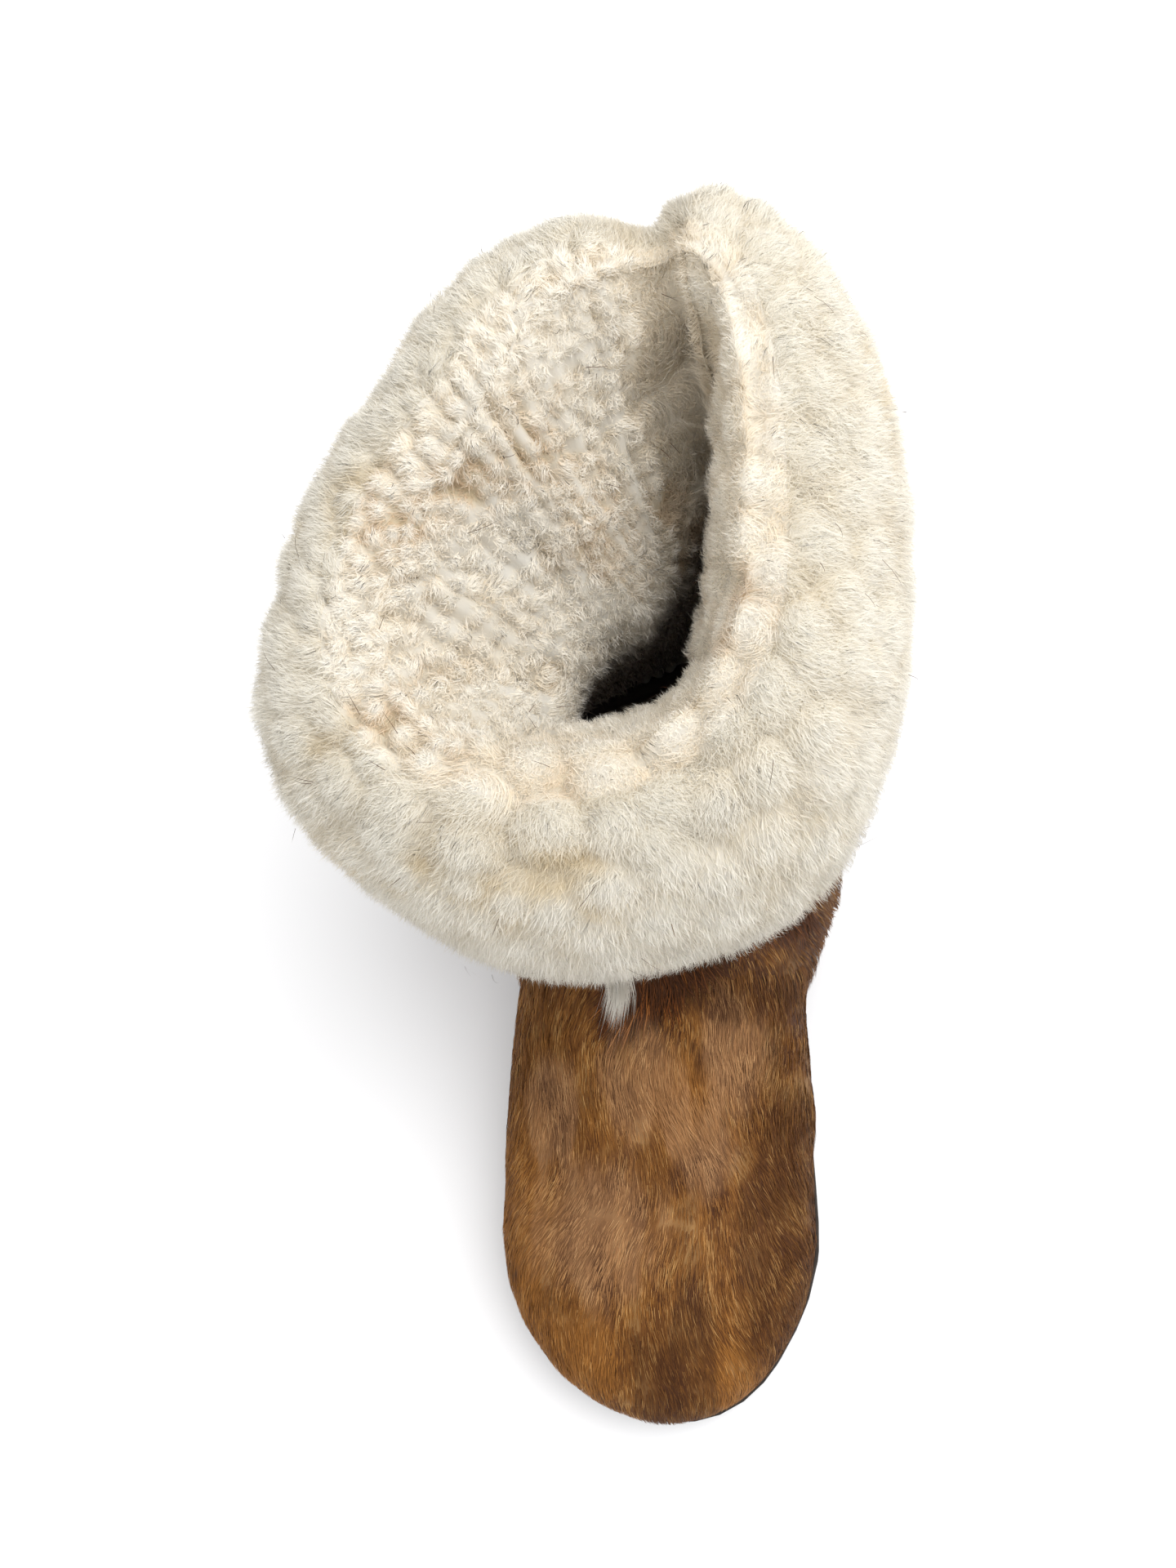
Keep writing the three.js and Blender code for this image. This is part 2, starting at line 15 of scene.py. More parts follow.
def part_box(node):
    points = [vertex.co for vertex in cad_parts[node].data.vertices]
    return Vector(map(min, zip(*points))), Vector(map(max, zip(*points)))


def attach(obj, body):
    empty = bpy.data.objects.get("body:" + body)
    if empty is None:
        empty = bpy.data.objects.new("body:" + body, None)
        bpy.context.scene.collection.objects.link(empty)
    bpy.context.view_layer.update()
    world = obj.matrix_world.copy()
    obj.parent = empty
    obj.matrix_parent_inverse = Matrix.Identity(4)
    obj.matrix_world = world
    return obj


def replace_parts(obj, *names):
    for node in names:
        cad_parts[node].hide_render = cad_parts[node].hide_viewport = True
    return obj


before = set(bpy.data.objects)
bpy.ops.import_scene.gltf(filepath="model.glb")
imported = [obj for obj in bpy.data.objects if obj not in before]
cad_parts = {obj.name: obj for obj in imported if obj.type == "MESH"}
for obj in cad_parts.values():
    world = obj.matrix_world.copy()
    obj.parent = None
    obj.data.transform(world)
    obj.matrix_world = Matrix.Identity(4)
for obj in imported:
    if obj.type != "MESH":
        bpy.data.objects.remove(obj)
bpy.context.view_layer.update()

# %% Numbers that the whole notebook uses
MM = 0.001
TURN = 2 * math.pi
chance = np.random.default_rng(11)

SOLE_LENGTH = 262
BALL_WIDTH = 111
INSTEP_HEIGHT = 96
SHAFT_HEIGHT = 234
FOREFOOT_THICKNESS = 9
HEEL_HEIGHT = 20
TOE_SPRING = 7
SOLE_MARGIN = 1
TOE_NOSE = 12
HIDE = 2.5
PANEL_STEP = 1.6
CLEARANCE = 0.3
PILE_INSIDE = 28
PILE_DEEP = 20
PILE_ROLL = 24
PILE_OUTSIDE = 30
CUFF_DROP = 68
CUFF_HANG = 3
SPLIT_WIDTH = 36
SEAM_WIDTH = 10
SEAM_FULLNESS = 0.55
SKIN_DEPTH = 0.6
TOE_END = -SOLE_LENGTH / 2

# %% [markdown]
# The hide and the wool follow the last, a fan of oval sections from the toe round the ankle to the collar.
# The short table that shaped the solids is written here again, in shares of the named sizes, so that hair and
# wool are placed on a form that is smooth at any scale and not on the solid's facets.


# %% Tables in plain columns
def table(names, *rows):
    """Columns of numbers by name."""
    return {name: np.array(column, float) for name, column in zip(names.split(), zip(*rows))}


SOLE_SIDE = table(
    "at top spring",
    (0.0, 0.0, 1.0), (0.08, 0.0, 0.5), (0.16, 0.0, 0.14), (0.23, 0.0, 0.0), (0.42, 0.06, 0.0),
    (0.5, 0.25, 0.0), (0.58, 0.55, 0.0), (0.65, 0.82, 0.0), (0.672, 0.88, 0.0), (0.8, 1.0, 0.0),
    (1.0, 1.0, 0.0),
)
SECTIONS = table(
    "front frontLevel back backLevel waist medial lateral centre twist frontFill backFill",
    (0.25, 0.6, 0.25, -0.1, 0.38, 0.495, 0.495, -0.035, 0, 2.3, 4),
    (0.36, 0.68, 0.35, -0.1, 0.38, 0.485, 0.495, -0.04, 0, 2.3, 4),
    (0.46, 0.8, 0.47, -0.1, 0.38, 0.47, 0.49, -0.035, 0, 2.2, 3.8),
    (0.525, 0.93, 0.61, -0.1, 0.38, 0.46, 0.475, -0.02, 0, 2.1, 3.4),
    (0.555, 1.06, 0.76, -0.12, 0.4, 0.475, 0.46, -0.005, 0, 2.1, 3.2),
    (0.565, 1.16, 0.88, -0.15, 0.42, 0.48, 0.45, 0, 0, 2.1, 3),
    (0.57, 1.24, 0.97, -0.14, 0.44, 0.485, 0.445, 0, 0, 2.1, 2.7),
    (0.572, 1.3, 1, 0.12, 0.46, 0.485, 0.445, 0, 0, 2.1, 2.5),
    (0.574, 1.36, 1.008, 0.42, 0.48, 0.485, 0.45, 0, 0, 2.1, 2.3),
    (0.574, 1.43, 1, 0.72, 0.49, 0.49, 0.46, -0.005, 0.02, 2.1, 2.2),
    (0.572, 1.51, 0.995, 1, 0.5, 0.495, 0.47, -0.01, 0.05, 2.1, 2.2),
    (0.57, 1.61, 1.01, 1.32, 0.53, 0.51, 0.485, -0.025, 0.11, 2.1, 2.3),
    (0.574, 1.73, 1.05, 1.68, 0.57, 0.525, 0.51, -0.045, 0.18, 2.1, 2.4),
    (0.58, 1.87, 1.11, 2.11, 0.61, 0.535, 0.53, -0.06, 0.25, 2.1, 2.4),
)
COLLAR = len(SECTIONS["front"]) - 1
PANEL_ROW = 3.2
LINING_ROW = 9.8
FOLDS = table(
    "row turn rows turns height",
    (4.6, 0.22, 1.0, 0.12, 0.045), (2.9, 0.24, 0.5, 0.1, -0.0225), (1.6, 0.25, 0.35, 0.08, 0.0135),
    (4.2, 0.8, 0.7, 0.1, 0.0225), (7.5, 0.5, 1.2, 0.2, 0.0135), (8.8, 0.45, 0.6, 0.25, -0.018),
    (13.2, 0.64, 2.2, 0.11, -0.234),
)
CUFF_FLEECE = table(
    "out level",
    (-0.48, 0.74), (-0.2, 0.96), (0.1, 1.0), (0.38, 0.86), (0.62, 0.56), (0.8, 0.2), (0.92, -0.08),
    (0.98, -0.26), (1.0, -0.46), (0.96, -0.66), (0.84, -0.85), (0.62, -0.98), (0.34, -1.03),
)
SLUMPS = table(
    "turn turns aside behind",
    (0.57, 0.13, 0.9, 0.0), (0.8, 0.15, 0.85, 0.0), (0.02, 0.16, 0.0, 0.32),
)
ROLL_LEAN = 0.75
DEEP_LEAN = 0.25
print("sections:", COLLAR + 1, "folds:", len(FOLDS["row"]), "leans of the mouth:", len(SLUMPS["turn"]))


# %% The last's own formula
def mix(a, b, share):
    return a + (b - a) * share


def smooth_column(rows, name, place):
    """A smooth curve through one column, at places between its rows."""
    column = rows[name]
    last = len(column) - 1
    i = np.clip(np.floor(place), 0, last - 1).astype(int)
    t = place - i
    slopes = np.gradient(column)
    rise = t * t * (3 - 2 * t)
    ends = column[i] * (1 - rise) + column[i + 1] * rise
    return ends + slopes[i] * t * (1 - t) ** 2 + slopes[i + 1] * t * t * (t - 1)


def seat_height(share):
    """Top of the sole, under the foot."""
    heel = (HEEL_HEIGHT - FOREFOOT_THICKNESS) * np.interp(share, SOLE_SIDE["at"], SOLE_SIDE["top"])
    return FOREFOOT_THICKNESS + heel + TOE_SPRING * np.interp(share, SOLE_SIDE["at"], SOLE_SIDE["spring"])


def level_height(level, share):
    low = mix(seat_height(share), INSTEP_HEIGHT, level)
    return np.where(level < 1, low, mix(INSTEP_HEIGHT, SHAFT_HEIGHT, level - 1))


for end in ("front", "back"):
    SECTIONS[end + "Y"] = TOE_END + SECTIONS[end] * SOLE_LENGTH
    SECTIONS[end + "Z"] = level_height(SECTIONS[end + "Level"], SECTIONS[end])
print("collar height, front and back:", SECTIONS["frontZ"][-1], SECTIONS["backZ"][-1])


# %% A point of the last
def form_point(place, turn):
    """place: between the sections, down to -1 at the tip of the toe. turn: 0 front, 0.25 medial, 0.5 back."""
    place, turn = np.broadcast_arrays(np.asarray(place, float), np.asarray(turn, float))
    value = {name: smooth_column(SECTIONS, name, np.maximum(place, 0)) for name in SECTIONS}
    ahead, aside = np.cos(turn * TURN), np.sin(turn * TURN)
    fill = np.where(ahead > 0, value["frontFill"], value["backFill"])
    reach = np.abs(ahead) ** (2 / fill)
    along = np.where(ahead > 0, mix(value["waist"], 1, reach), value["waist"] * (1 - reach))
    half = np.where(aside > 0, value["medial"], value["lateral"])
    end = np.where(ahead > 0, 0, value["twist"])
    spread = mix(end, np.sign(aside) * half, np.abs(aside) ** (2 / fill))
    x = BALL_WIDTH * (value["centre"] + spread)
    y = mix(value["backY"], value["frontY"], along)
    z = mix(value["backZ"], value["frontZ"], along)
    return toe_point(place, np.stack([x, y, z], -1))


def toe_point(place, points):
    """Past the first section the form swings down to the tip of the toe and is drawn in."""
    swing = np.clip(place + 1, 0, 1) * (math.pi / 2)
    first = {name: column[0] for name, column in SECTIONS.items()}
    centre = BALL_WIDTH * first["centre"]
    tip = np.array([BALL_WIDTH * 0.02, TOE_END + SOLE_MARGIN, seat_height(0) + TOE_NOSE])
    nose = mix(first["backZ"], first["frontZ"], first["waist"])
    drawn = np.sin(swing)
    lowered = (1 - np.cos(swing) ** first["backFill"]) ** (1 / first["backFill"])
    x, y, z = points[..., 0], points[..., 1], points[..., 2]
    toe_x = mix(tip[0], centre, drawn) + (x - centre) * drawn
    toe_y = mix(y, tip[1], np.cos(swing))
    toe_z = mix(tip[2], nose, drawn) + (z - nose) * np.where(z > nose, drawn, lowered)
    return np.where((place < 0)[..., None], np.stack([toe_x, toe_y, toe_z], -1), points)


print("ball of the last:", form_point(0.0, 0.25), form_point(0.0, 0.75))


# %% The skin over the last
def unit(vectors):
    return vectors / np.maximum(np.linalg.norm(vectors, axis=-1, keepdims=True), 1e-9)


def fold_height(place, turn):
    height = np.zeros(np.broadcast(place, turn).shape)
    for row, at, rows, turns, high in zip(*FOLDS.values()):
        height = height + high * np.exp(-(((place - row) / rows) ** 2) - ((turn - at) / turns) ** 2)
    return height * BALL_WIDTH


def skin_frame(place, turn, out):
    """Points `out` millimetres outside the last, folds included, and their normals."""
    step = 0.01
    at = np.maximum(place, -0.96)
    along = form_point(at + step, turn) - form_point(at - step, turn)
    around = form_point(at, turn + step) - form_point(at, turn - step)
    normal = unit(np.cross(around, along))
    reach = (np.asarray(out) + fold_height(place, turn % 1))[..., None]
    return form_point(place, turn) + normal * reach, normal


def panel_step(place):
    """The leg panel lies over the vamp and stands proud of it."""
    return PANEL_STEP * np.clip((place - PANEL_ROW) / 0.15 + 1, 0, 1)


def middle_of(place):
    return (form_point(place, 0.25) + form_point(place, 0.75)) / 2


print("skin at the instep:", skin_frame(np.array([3.0]), np.array([0.0]), 0)[0])

# %% Where the boot stands in the frame
sole_low = np.array(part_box("outsole")[0]) / MM
upper_low, upper_high = (np.array(corner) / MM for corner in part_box("upper"))
places, turns = np.meshgrid(np.linspace(-1, COLLAR, 160), np.arange(0, 1, 1 / 112))
own = skin_frame(places, turns, panel_step(places))[0].reshape(-1, 3)
own = own[own[:, 2] > seat_height(np.clip((own[:, 1] - TOE_END) / SOLE_LENGTH, 0, 1))]
shift_x = (upper_low[0] + upper_high[0] - own[:, 0].min() - own[:, 0].max()) / 2
SHIFT = np.array([shift_x, sole_low[1] - TOE_END, 0])
print("shift of the formula into the frame, mm:", SHIFT)


# %% [markdown]
# A hair is a thin ribbon: a few narrow faces that taper to a point and bend once on their way. Many such
# ribbons look like fur from a step away, and they go through an export, which hair curves don't. All ribbons
# of a piece are made at once from arrays. Each carries three numbers for its finish: how far along it a point
# lies, a tone of its own, and how deep it stands between the locks.


# %% Meshes from arrays
def placed(name, data):
    """A new object in the scene."""
    made = bpy.data.objects.new(name, data)
    bpy.context.scene.collection.objects.link(made)
    return made


def mesh_object(name, points, triangles, strand=None, normals=None, corner_map=None):
    """A shaded mesh object from millimetre arrays, with the strand values, normals and map that it gets."""
    mesh = bpy.data.meshes.new(name)
    mesh.vertices.add(len(points))
    mesh.vertices.foreach_set("co", ((points + SHIFT) * MM).astype(np.float32).ravel())
    mesh.loops.add(triangles.size)
    mesh.loops.foreach_set("vertex_index", triangles.astype(np.int32).ravel())
    mesh.polygons.add(len(triangles))
    mesh.polygons.foreach_set("loop_start", np.arange(0, triangles.size, 3, dtype=np.int32))
    mesh.polygons.foreach_set("use_smooth", np.ones(len(triangles), bool))
    mesh.update(calc_edges=True)
    if strand is not None:
        made = mesh.attributes.new("strand", "FLOAT_VECTOR", "POINT")
        made.data.foreach_set("vector", strand.astype(np.float32).ravel())
    if corner_map is not None:
        layer = mesh.uv_layers.new(name="OFBake")
        layer.uv.foreach_set("vector", corner_map[triangles.ravel()].astype(np.float32).ravel())
    if normals is not None:
        mesh.normals_split_custom_set_from_vertices(normals.astype(np.float32))
    print(name, "has", len(triangles), "triangles")
    return placed(name, mesh)


# %% Ribbons
def ribbons(name, root, bend, tip, width, facing, shade, tone, depth, pieces=2, soften=0.7):
    """One joined mesh of ribbons from root to tip, past bend, each `width` wide at its root."""
    count = len(root)
    share = np.arange(pieces + 1) / pieces
    s = share[None, :, None]
    line = (1 - s) ** 2 * root[:, None] + 2 * s * (1 - s) * bend[:, None] + s**2 * tip[:, None]
    heading = unit(2 * (1 - s) * (bend - root)[:, None] + 2 * s * (tip - bend)[:, None])
    side = unit(np.cross(facing[:, None], heading))
    outward = (np.cross(heading, side)[:, 0] * shade).sum(-1)
    side = side * np.where(outward < 0, -1, 1)[:, None, None]
    half = (width[:, None] / 2 * (1 - 0.55 * share[None]))[..., None]
    left, right = line[:, :-1] + (side * half)[:, :-1], line[:, :-1] - (side * half)[:, :-1]
    points = np.concatenate([np.stack([left, right], 2).reshape(count, -1, 3), line[:, -1:]], 1)
    flat = np.cross(heading, side)
    standing = (heading * shade[:, None]).sum(-1, keepdims=True) ** 2
    soft = unit(mix(flat, shade[:, None], soften * (1 - standing)))
    normals = np.concatenate([np.repeat(soft[:, :-1], 2, 1), soft[:, -1:]], 1)
    along = np.concatenate([np.repeat(share[:-1], 2), [1.0]])
    strand = np.stack(np.broadcast_arrays(along[None], tone[:, None], depth[:, None]), -1)
    corners = []
    for k in range(pieces - 1):
        a = 2 * k
        corners += [(a, a + 1, a + 3), (a, a + 3, a + 2)]
    corners.append((2 * pieces - 2, 2 * pieces - 1, 2 * pieces))
    width_of_mesh = 2 * pieces + 1
    triangles = (np.arange(count)[:, None, None] * width_of_mesh + np.array(corners)[None]).reshape(-1, 3)
    return mesh_object(
        name, points.reshape(-1, 3), triangles, strand.reshape(-1, 3), normals.reshape(-1, 3),
        ribbon_map(count, pieces),
    )


def ribbon_map(count, pieces):
    """A small cell of the texture map for each ribbon, side by side."""
    across = math.ceil(math.sqrt(count))
    column, row = np.arange(count) % across, np.arange(count) // across
    side = np.tile([0.1, 0.9], pieces)
    up = np.repeat(np.arange(pieces) / pieces, 2)
    cell = np.stack([np.append(side, 0.5), np.append(0.05 + 0.85 * up, 0.95)], -1)
    return ((np.stack([column, row], -1)[:, None] + cell[None]) / across).reshape(-1, 2)


print("a ribbon of 2 pieces has", 2 * 2 - 1, "triangles")


# %% Smooth chance over a surface
def waves(points, size, seed):
    """A soft random field from about -1 to 1, whose hills are about `size` millimetres across."""
    made = np.random.default_rng(seed)
    directions = unit(made.normal(size=(9, 3))) * (math.pi / size) * made.uniform(0.6, 1.5, (9, 1))
    phases = made.uniform(0, TURN, 9)
    return np.sin(points @ directions.T + phases).sum(-1) / 3


def nearest(centres, points):
    """For each point the number of its nearest centre, and the distance to it."""
    tree = kdtree.KDTree(len(centres))
    for i, centre in enumerate(centres):
        tree.insert(centre, i)
    tree.balance()
    found = [tree.find(point) for point in points]
    return np.array([hit[1] for hit in found]), np.array([hit[2] for hit in found])


print("waves from", waves(own[:2000], 20, 1).min(), "to", waves(own[:2000], 20, 1).max())


# %% [markdown]
# The cuff is one shearling with deep wool. Its outer form is a profile that runs from the hanging edge up
# over the roll and down into the mouth, carried once round the collar. At the back the strip's two ends meet:
# they touch over the roll and part below it. The profile is a net of points, and wool is placed on that net.


# %% The cuff's profile at every turn
def fullness(from_back):
    """The pile is thin where the strip's two ends meet."""
    return 1 - (1 - SEAM_FULLNESS) * np.exp(-((from_back / (SEAM_WIDTH / 2)) ** 2))


def collar_point(turn, out, up):
    """A point over the collar's edge: square to it outside, towards the middle of the mouth inside."""
    step = 0.01
    at = np.full_like(turn, COLLAR)
    edge = skin_frame(at, turn, PANEL_STEP)[0]
    around = skin_frame(at, turn + step, 0)[0] - skin_frame(at, turn - step, 0)[0]
    square = np.stack([around[:, 1], -around[:, 0], np.zeros(len(turn))], -1)
    inward = (edge - middle_of(COLLAR)) * [1, 1, 0]
    outward = unit(np.where((out < 0)[:, None], inward, square))
    return edge + outward * out[:, None] + np.stack([0 * up, 0 * up, up], -1)


def slump(turn, share):
    """How far the slack wool leans over the mouth: fully just below the roll, less above and further down."""
    lean = np.zeros((len(turn), 3))
    for at, turns, aside, behind in zip(*SLUMPS.values()):
        apart = turn - at - np.round(turn - at)
        here = PILE_INSIDE * share * np.exp(-((apart / turns) ** 2))
        lean += here[:, None] * [aside, behind, 0]
    return lean


SPLIT_ROUND = 16


def beside_split(turns, level):
    """The turns moved apart at the back, where the strip's ends hang open below the collar's edge."""
    from_back = np.abs(turns - 0.5) * math.pi * BALL_WIDTH
    gap = SPLIT_WIDTH / 2 * np.clip(-level, 0, 1) ** 1.3
    moved = gap + from_back * (1 - gap / (math.pi * BALL_WIDTH / 2))
    return 0.5 + np.sign(turns - 0.5) * moved / (math.pi * BALL_WIDTH)


def cuff_net(turns):
    """Rows from the cuff's hanging edge over the roll to the lining's lower edge, for each turn."""
    from_back = np.abs(turns - 0.5) * math.pi * BALL_WIDTH
    rows = []
    for out, level in zip(CUFF_FLEECE["out"][::-1], CUFF_FLEECE["level"][::-1]):
        turn = beside_split(turns, level)
        end = np.sqrt(1 - (1 - np.clip(from_back / SPLIT_ROUND, 0, 1)) ** 2)
        full = mix(fullness(from_back), end, np.clip(-3 * level, 0, 1))
        rise = level * mix(HIDE, PILE_ROLL, full) if level > 0 else np.full_like(turn, level * CUFF_DROP)
        point = collar_point(turn, out * mix(CUFF_HANG, PILE_OUTSIDE, full) + CLEARANCE, rise)
        rows.append(point + slump(turns, ROLL_LEAN * max(-out, 0)))
    for share in (0.75, 0.5, 0.25, 0.0):
        place = np.full_like(turns, mix(LINING_ROW, COLLAR, share))
        depth = fullness(from_back) * mix(PILE_DEEP, PILE_INSIDE, share)
        wall = skin_frame(place, turns, -SKIN_DEPTH * HIDE)[0]
        lean = slump(turns, mix(DEEP_LEAN, 1, share / 0.75))
        rows.append(wall + unit(middle_of(place) - wall) * depth[:, None] + lean)
    return np.stack(rows, 1)


NET_TURNS = 720
net_turns = (np.arange(NET_TURNS) + 0.5) / NET_TURNS
NET = np.roll(cuff_net(net_turns), -NET_TURNS // 2, 0)
NET_ROWS = NET.shape[1]
print("cuff net:", NET.shape, "from the split at the back, round the lateral side first")


# %% Points of the wool's surface
JOINED = 6.3 / (NET_ROWS - 1)


def on_net(u, v):
    """u: 0 to 1 from the split round to the split again. v: 0 at the hanging edge to 1 at the lining's end.
    Past JOINED the strip's two ends touch, and u runs on round."""
    across = u * NET_TURNS - 0.5
    i = np.floor(across).astype(int)
    s = (across - i)[:, None]
    here, there = (np.where(v > JOINED, n % NET_TURNS, np.clip(n, 0, NET_TURNS - 1)) for n in (i, i + 1))
    down = np.clip(v * (NET_ROWS - 1), 0, NET_ROWS - 1.001)
    j = down.astype(int)
    t = (down - j)[:, None]
    near = [np.clip(j + n, 0, NET_ROWS - 1) for n in (-1, 0, 1, 2)]
    row = [mix(NET[here, k], NET[there, k], s) for k in near]
    bends = 3 * (row[1] - row[2]) + row[3] - row[0]
    flat = 2 * row[0] - 5 * row[1] + 4 * row[2] - row[3]
    return row[1] + t * (row[2] - row[0] + t * (flat + t * bends)) / 2


def net_frame(u, v):
    """Points, normals and the two directions along the surface."""
    step = 0.004
    around = on_net(u + step, v) - on_net(u - step, v)
    down = on_net(u, np.minimum(v + step, 1)) - on_net(u, np.maximum(v - step, 0))
    normal = unit(np.cross(around, down))
    return on_net(u, v), normal, unit(down), unit(around)


sample = net_frame(np.array([0.5, 0.5, 0.5]), np.array([0.2, 0.5, 0.9]))
print("normals at the front, outside, on the roll and inside:", sample[1].round(2).tolist())


# %% Spreading places evenly over the wool
CELLS_U, CELLS_V = 240, 80
HALF_U, HALF_V = 0.5 / CELLS_U, 0.5 / CELLS_V
cell_u, cell_v = np.meshgrid((np.arange(CELLS_U) + 0.5) / CELLS_U, (np.arange(CELLS_V) + 0.5) / CELLS_V)
cell_u, cell_v = cell_u.ravel(), cell_v.ravel()
cell_across = on_net(cell_u + HALF_U, cell_v) - on_net(cell_u - HALF_U, cell_v)
cell_down = on_net(cell_u, cell_v + HALF_V) - on_net(cell_u, cell_v - HALF_V)
cell_area = np.linalg.norm(np.cross(cell_across, cell_down), axis=-1)


def scatter(count, density, seed):
    """Random (u, v) on the net, with `density(u, v)` roots to the area."""
    made = np.random.default_rng(seed)
    weight = cell_area * density(cell_u, cell_v)
    cell = made.choice(len(weight), count, p=weight / weight.sum())
    spread = made.uniform(-1, 1, (2, count))
    return cell_u[cell] + spread[0] * HALF_U, cell_v[cell] + spread[1] * HALF_V


def evenly(count, density, seed, rounds=4):
    """The same, but pushed apart until the places are spread like seeds in a head."""
    u, v = scatter(count, density, seed)
    cloud_u, cloud_v = scatter(count * 14, density, seed + 1)
    cloud = on_net(cloud_u, cloud_v)
    for _ in range(rounds):
        owner, _ = nearest(on_net(u, v), cloud)
        shares = np.maximum(np.bincount(owner, minlength=count), 1)
        u = np.bincount(owner, cloud_u, count) / shares
        v = np.bincount(owner, cloud_v, count) / shares
    return u, v


def step_between(low, high, value):
    t = np.clip((value - low) / (high - low), 0, 1)
    return t * t * (3 - 2 * t)


CREST = 10 / (NET_ROWS - 1)
MOUTH = 13 / (NET_ROWS - 1)
print("the roll's crest is at v", round(CREST, 2), "and the mouth starts at v", round(MOUTH, 2))

# %% [markdown]
# Wool grows in locks. Each lock is a small dome of fibres that lean and curl together, and between the locks
# the wool is deeper, and its colour there is warmer and darker, partly from lanolin and partly as painted
# shade.
# On the lateral wall of the mouth the locks are tight nubs, on the roll they are large soft puffs, and on the
# hanging side the wool is combed smooth. So locks come first. Then a woolly skin is shaped over them, and
# fine straight down and longer bent wisps grow from that skin.

# %% Locks
WOOL_DEEP = 2.6


def nubby(u, v):
    """1 where the wool curls in tight nubs: up to the crest on the lateral wall, deeper down elsewhere."""
    start = mix(CREST + 0.13, CREST - 0.05, step_between(0.5, 0.4, u))
    return step_between(start, start + 0.1, v)


def lock_width(u, v):
    """Millimetres between locks: large on the outside and the roll, small inside the mouth."""
    inner = nubby(u, v)
    back = np.abs(u - 0.5) * 2
    return mix(mix(19.0, 15.0, step_between(0.1, CREST, v)), 5.6, inner) - 2.5 * back * (1 - inner)


LOCKS = int((cell_area / lock_width(cell_u, cell_v) ** 2).sum())
lock_u, lock_v = evenly(LOCKS, lambda u, v: 1 / lock_width(u, v) ** 2, 21)
lock_point = on_net(lock_u, lock_v)
lock_lean = chance.uniform(-1, 1, LOCKS) ** 3 * mix(1.3, 2.8, nubby(lock_u, lock_v))
lock_swirl = chance.choice([-1, 1], LOCKS) * chance.uniform(0.5, 1.4, LOCKS)
lock_tone = chance.uniform(0, 1, LOCKS)
lock_high = chance.uniform(0.7, 1.3, LOCKS)
lock_gap = 0.62 * lock_width(lock_u, lock_v)
print("locks:", LOCKS, "radius from", lock_gap.min().round(1), "to", lock_gap.max().round(1), "mm")


def lock_strength(u, v):
    """How much the wool keeps to its locks: little on the hanging side, fully inside."""
    return mix(mix(0.16, 0.72, step_between(0.15, CREST, v)), 1, nubby(u, v))


def dome(point, u, v, lock, away):
    """How high a point stands on its lock, and how deep between locks it lies, 0 to 1."""
    depth = np.clip(away / lock_gap[lock], 0, 1.2)
    steep = mix(0.4, 0.8, nubby(u, v))
    crown = steep * lock_gap[lock] * lock_high[lock] * lock_strength(u, v) * (0.5 - depth**2)
    from_seam = np.minimum(u, 1 - u) * math.pi * BALL_WIDTH
    calm = mix(0.3, 1, step_between(0, SEAM_WIDTH, from_seam))
    high = crown + 1.4 * waves(point, 36, 15) + 0.4 * waves(point, 12, 16) - WOOL_DEEP
    return calm * high, np.clip(depth, 0, 1)


# %% The woolly skin under the fibres
GRID_AROUND, GRID_DOWN = 360, 124


def grid_faces(rows, columns):
    """Triangles of a grid of points, rows by columns, open on all sides."""
    at = np.arange(rows * columns).reshape(rows, columns)
    a, b, c, d = at[:-1, :-1].ravel(), at[:-1, 1:].ravel(), at[1:, 1:].ravel(), at[1:, :-1].ravel()
    return np.concatenate([np.stack([a, b, c], -1), np.stack([a, c, d], -1)])


def grid_map(rows, columns):
    down, across = np.meshgrid(np.linspace(0.01, 0.99, rows), np.linspace(0.01, 0.99, columns), indexing="ij")
    return np.stack([across.ravel(), down.ravel()], -1)


grid_v, grid_u = np.meshgrid(np.linspace(0, 1, GRID_DOWN), np.linspace(0, 1, GRID_AROUND), indexing="ij")
grid_u, grid_v = grid_u.ravel(), grid_v.ravel()
point, normal, _, _ = net_frame(grid_u, grid_v)
lock, away = nearest(lock_point, point)
high, depth = dome(point, grid_u, grid_v, lock, away)
woolly = (point + normal * high[:, None]).reshape(GRID_DOWN, GRID_AROUND, 3)
seam = (grid_v > JOINED).reshape(GRID_DOWN, GRID_AROUND)[:, 0]
woolly[seam, 0] = woolly[seam, -1] = (woolly[seam, 0] + woolly[seam, -1]) / 2
whole_turn = (0.5 + np.clip(grid_u[:GRID_AROUND], 1e-4, 1 - 1e-4)) % 1
SUEDE_OUT = CUFF_HANG + 0.6
level = 0 * whole_turn
back_rows = [
    collar_point(beside_split(whole_turn, -share), level + SUEDE_OUT, level - CUFF_DROP * share)
    for share in (0.3, 0.7, 1.0)
]
woolly = np.concatenate([np.array(back_rows), woolly])
grid_depth = np.concatenate([np.ones(3 * GRID_AROUND), depth])
grid_tone = np.concatenate([np.zeros(3 * GRID_AROUND), lock_tone[lock]])
wool_skin = mesh_object(
    "cuff_skin",
    woolly.reshape(-1, 3),
    grid_faces(GRID_DOWN + 3, GRID_AROUND)[:, ::-1],
    np.stack([0 * grid_depth + 0.35, grid_tone, grid_depth], -1),
    None,
    grid_map(GRID_DOWN + 3, GRID_AROUND),
)


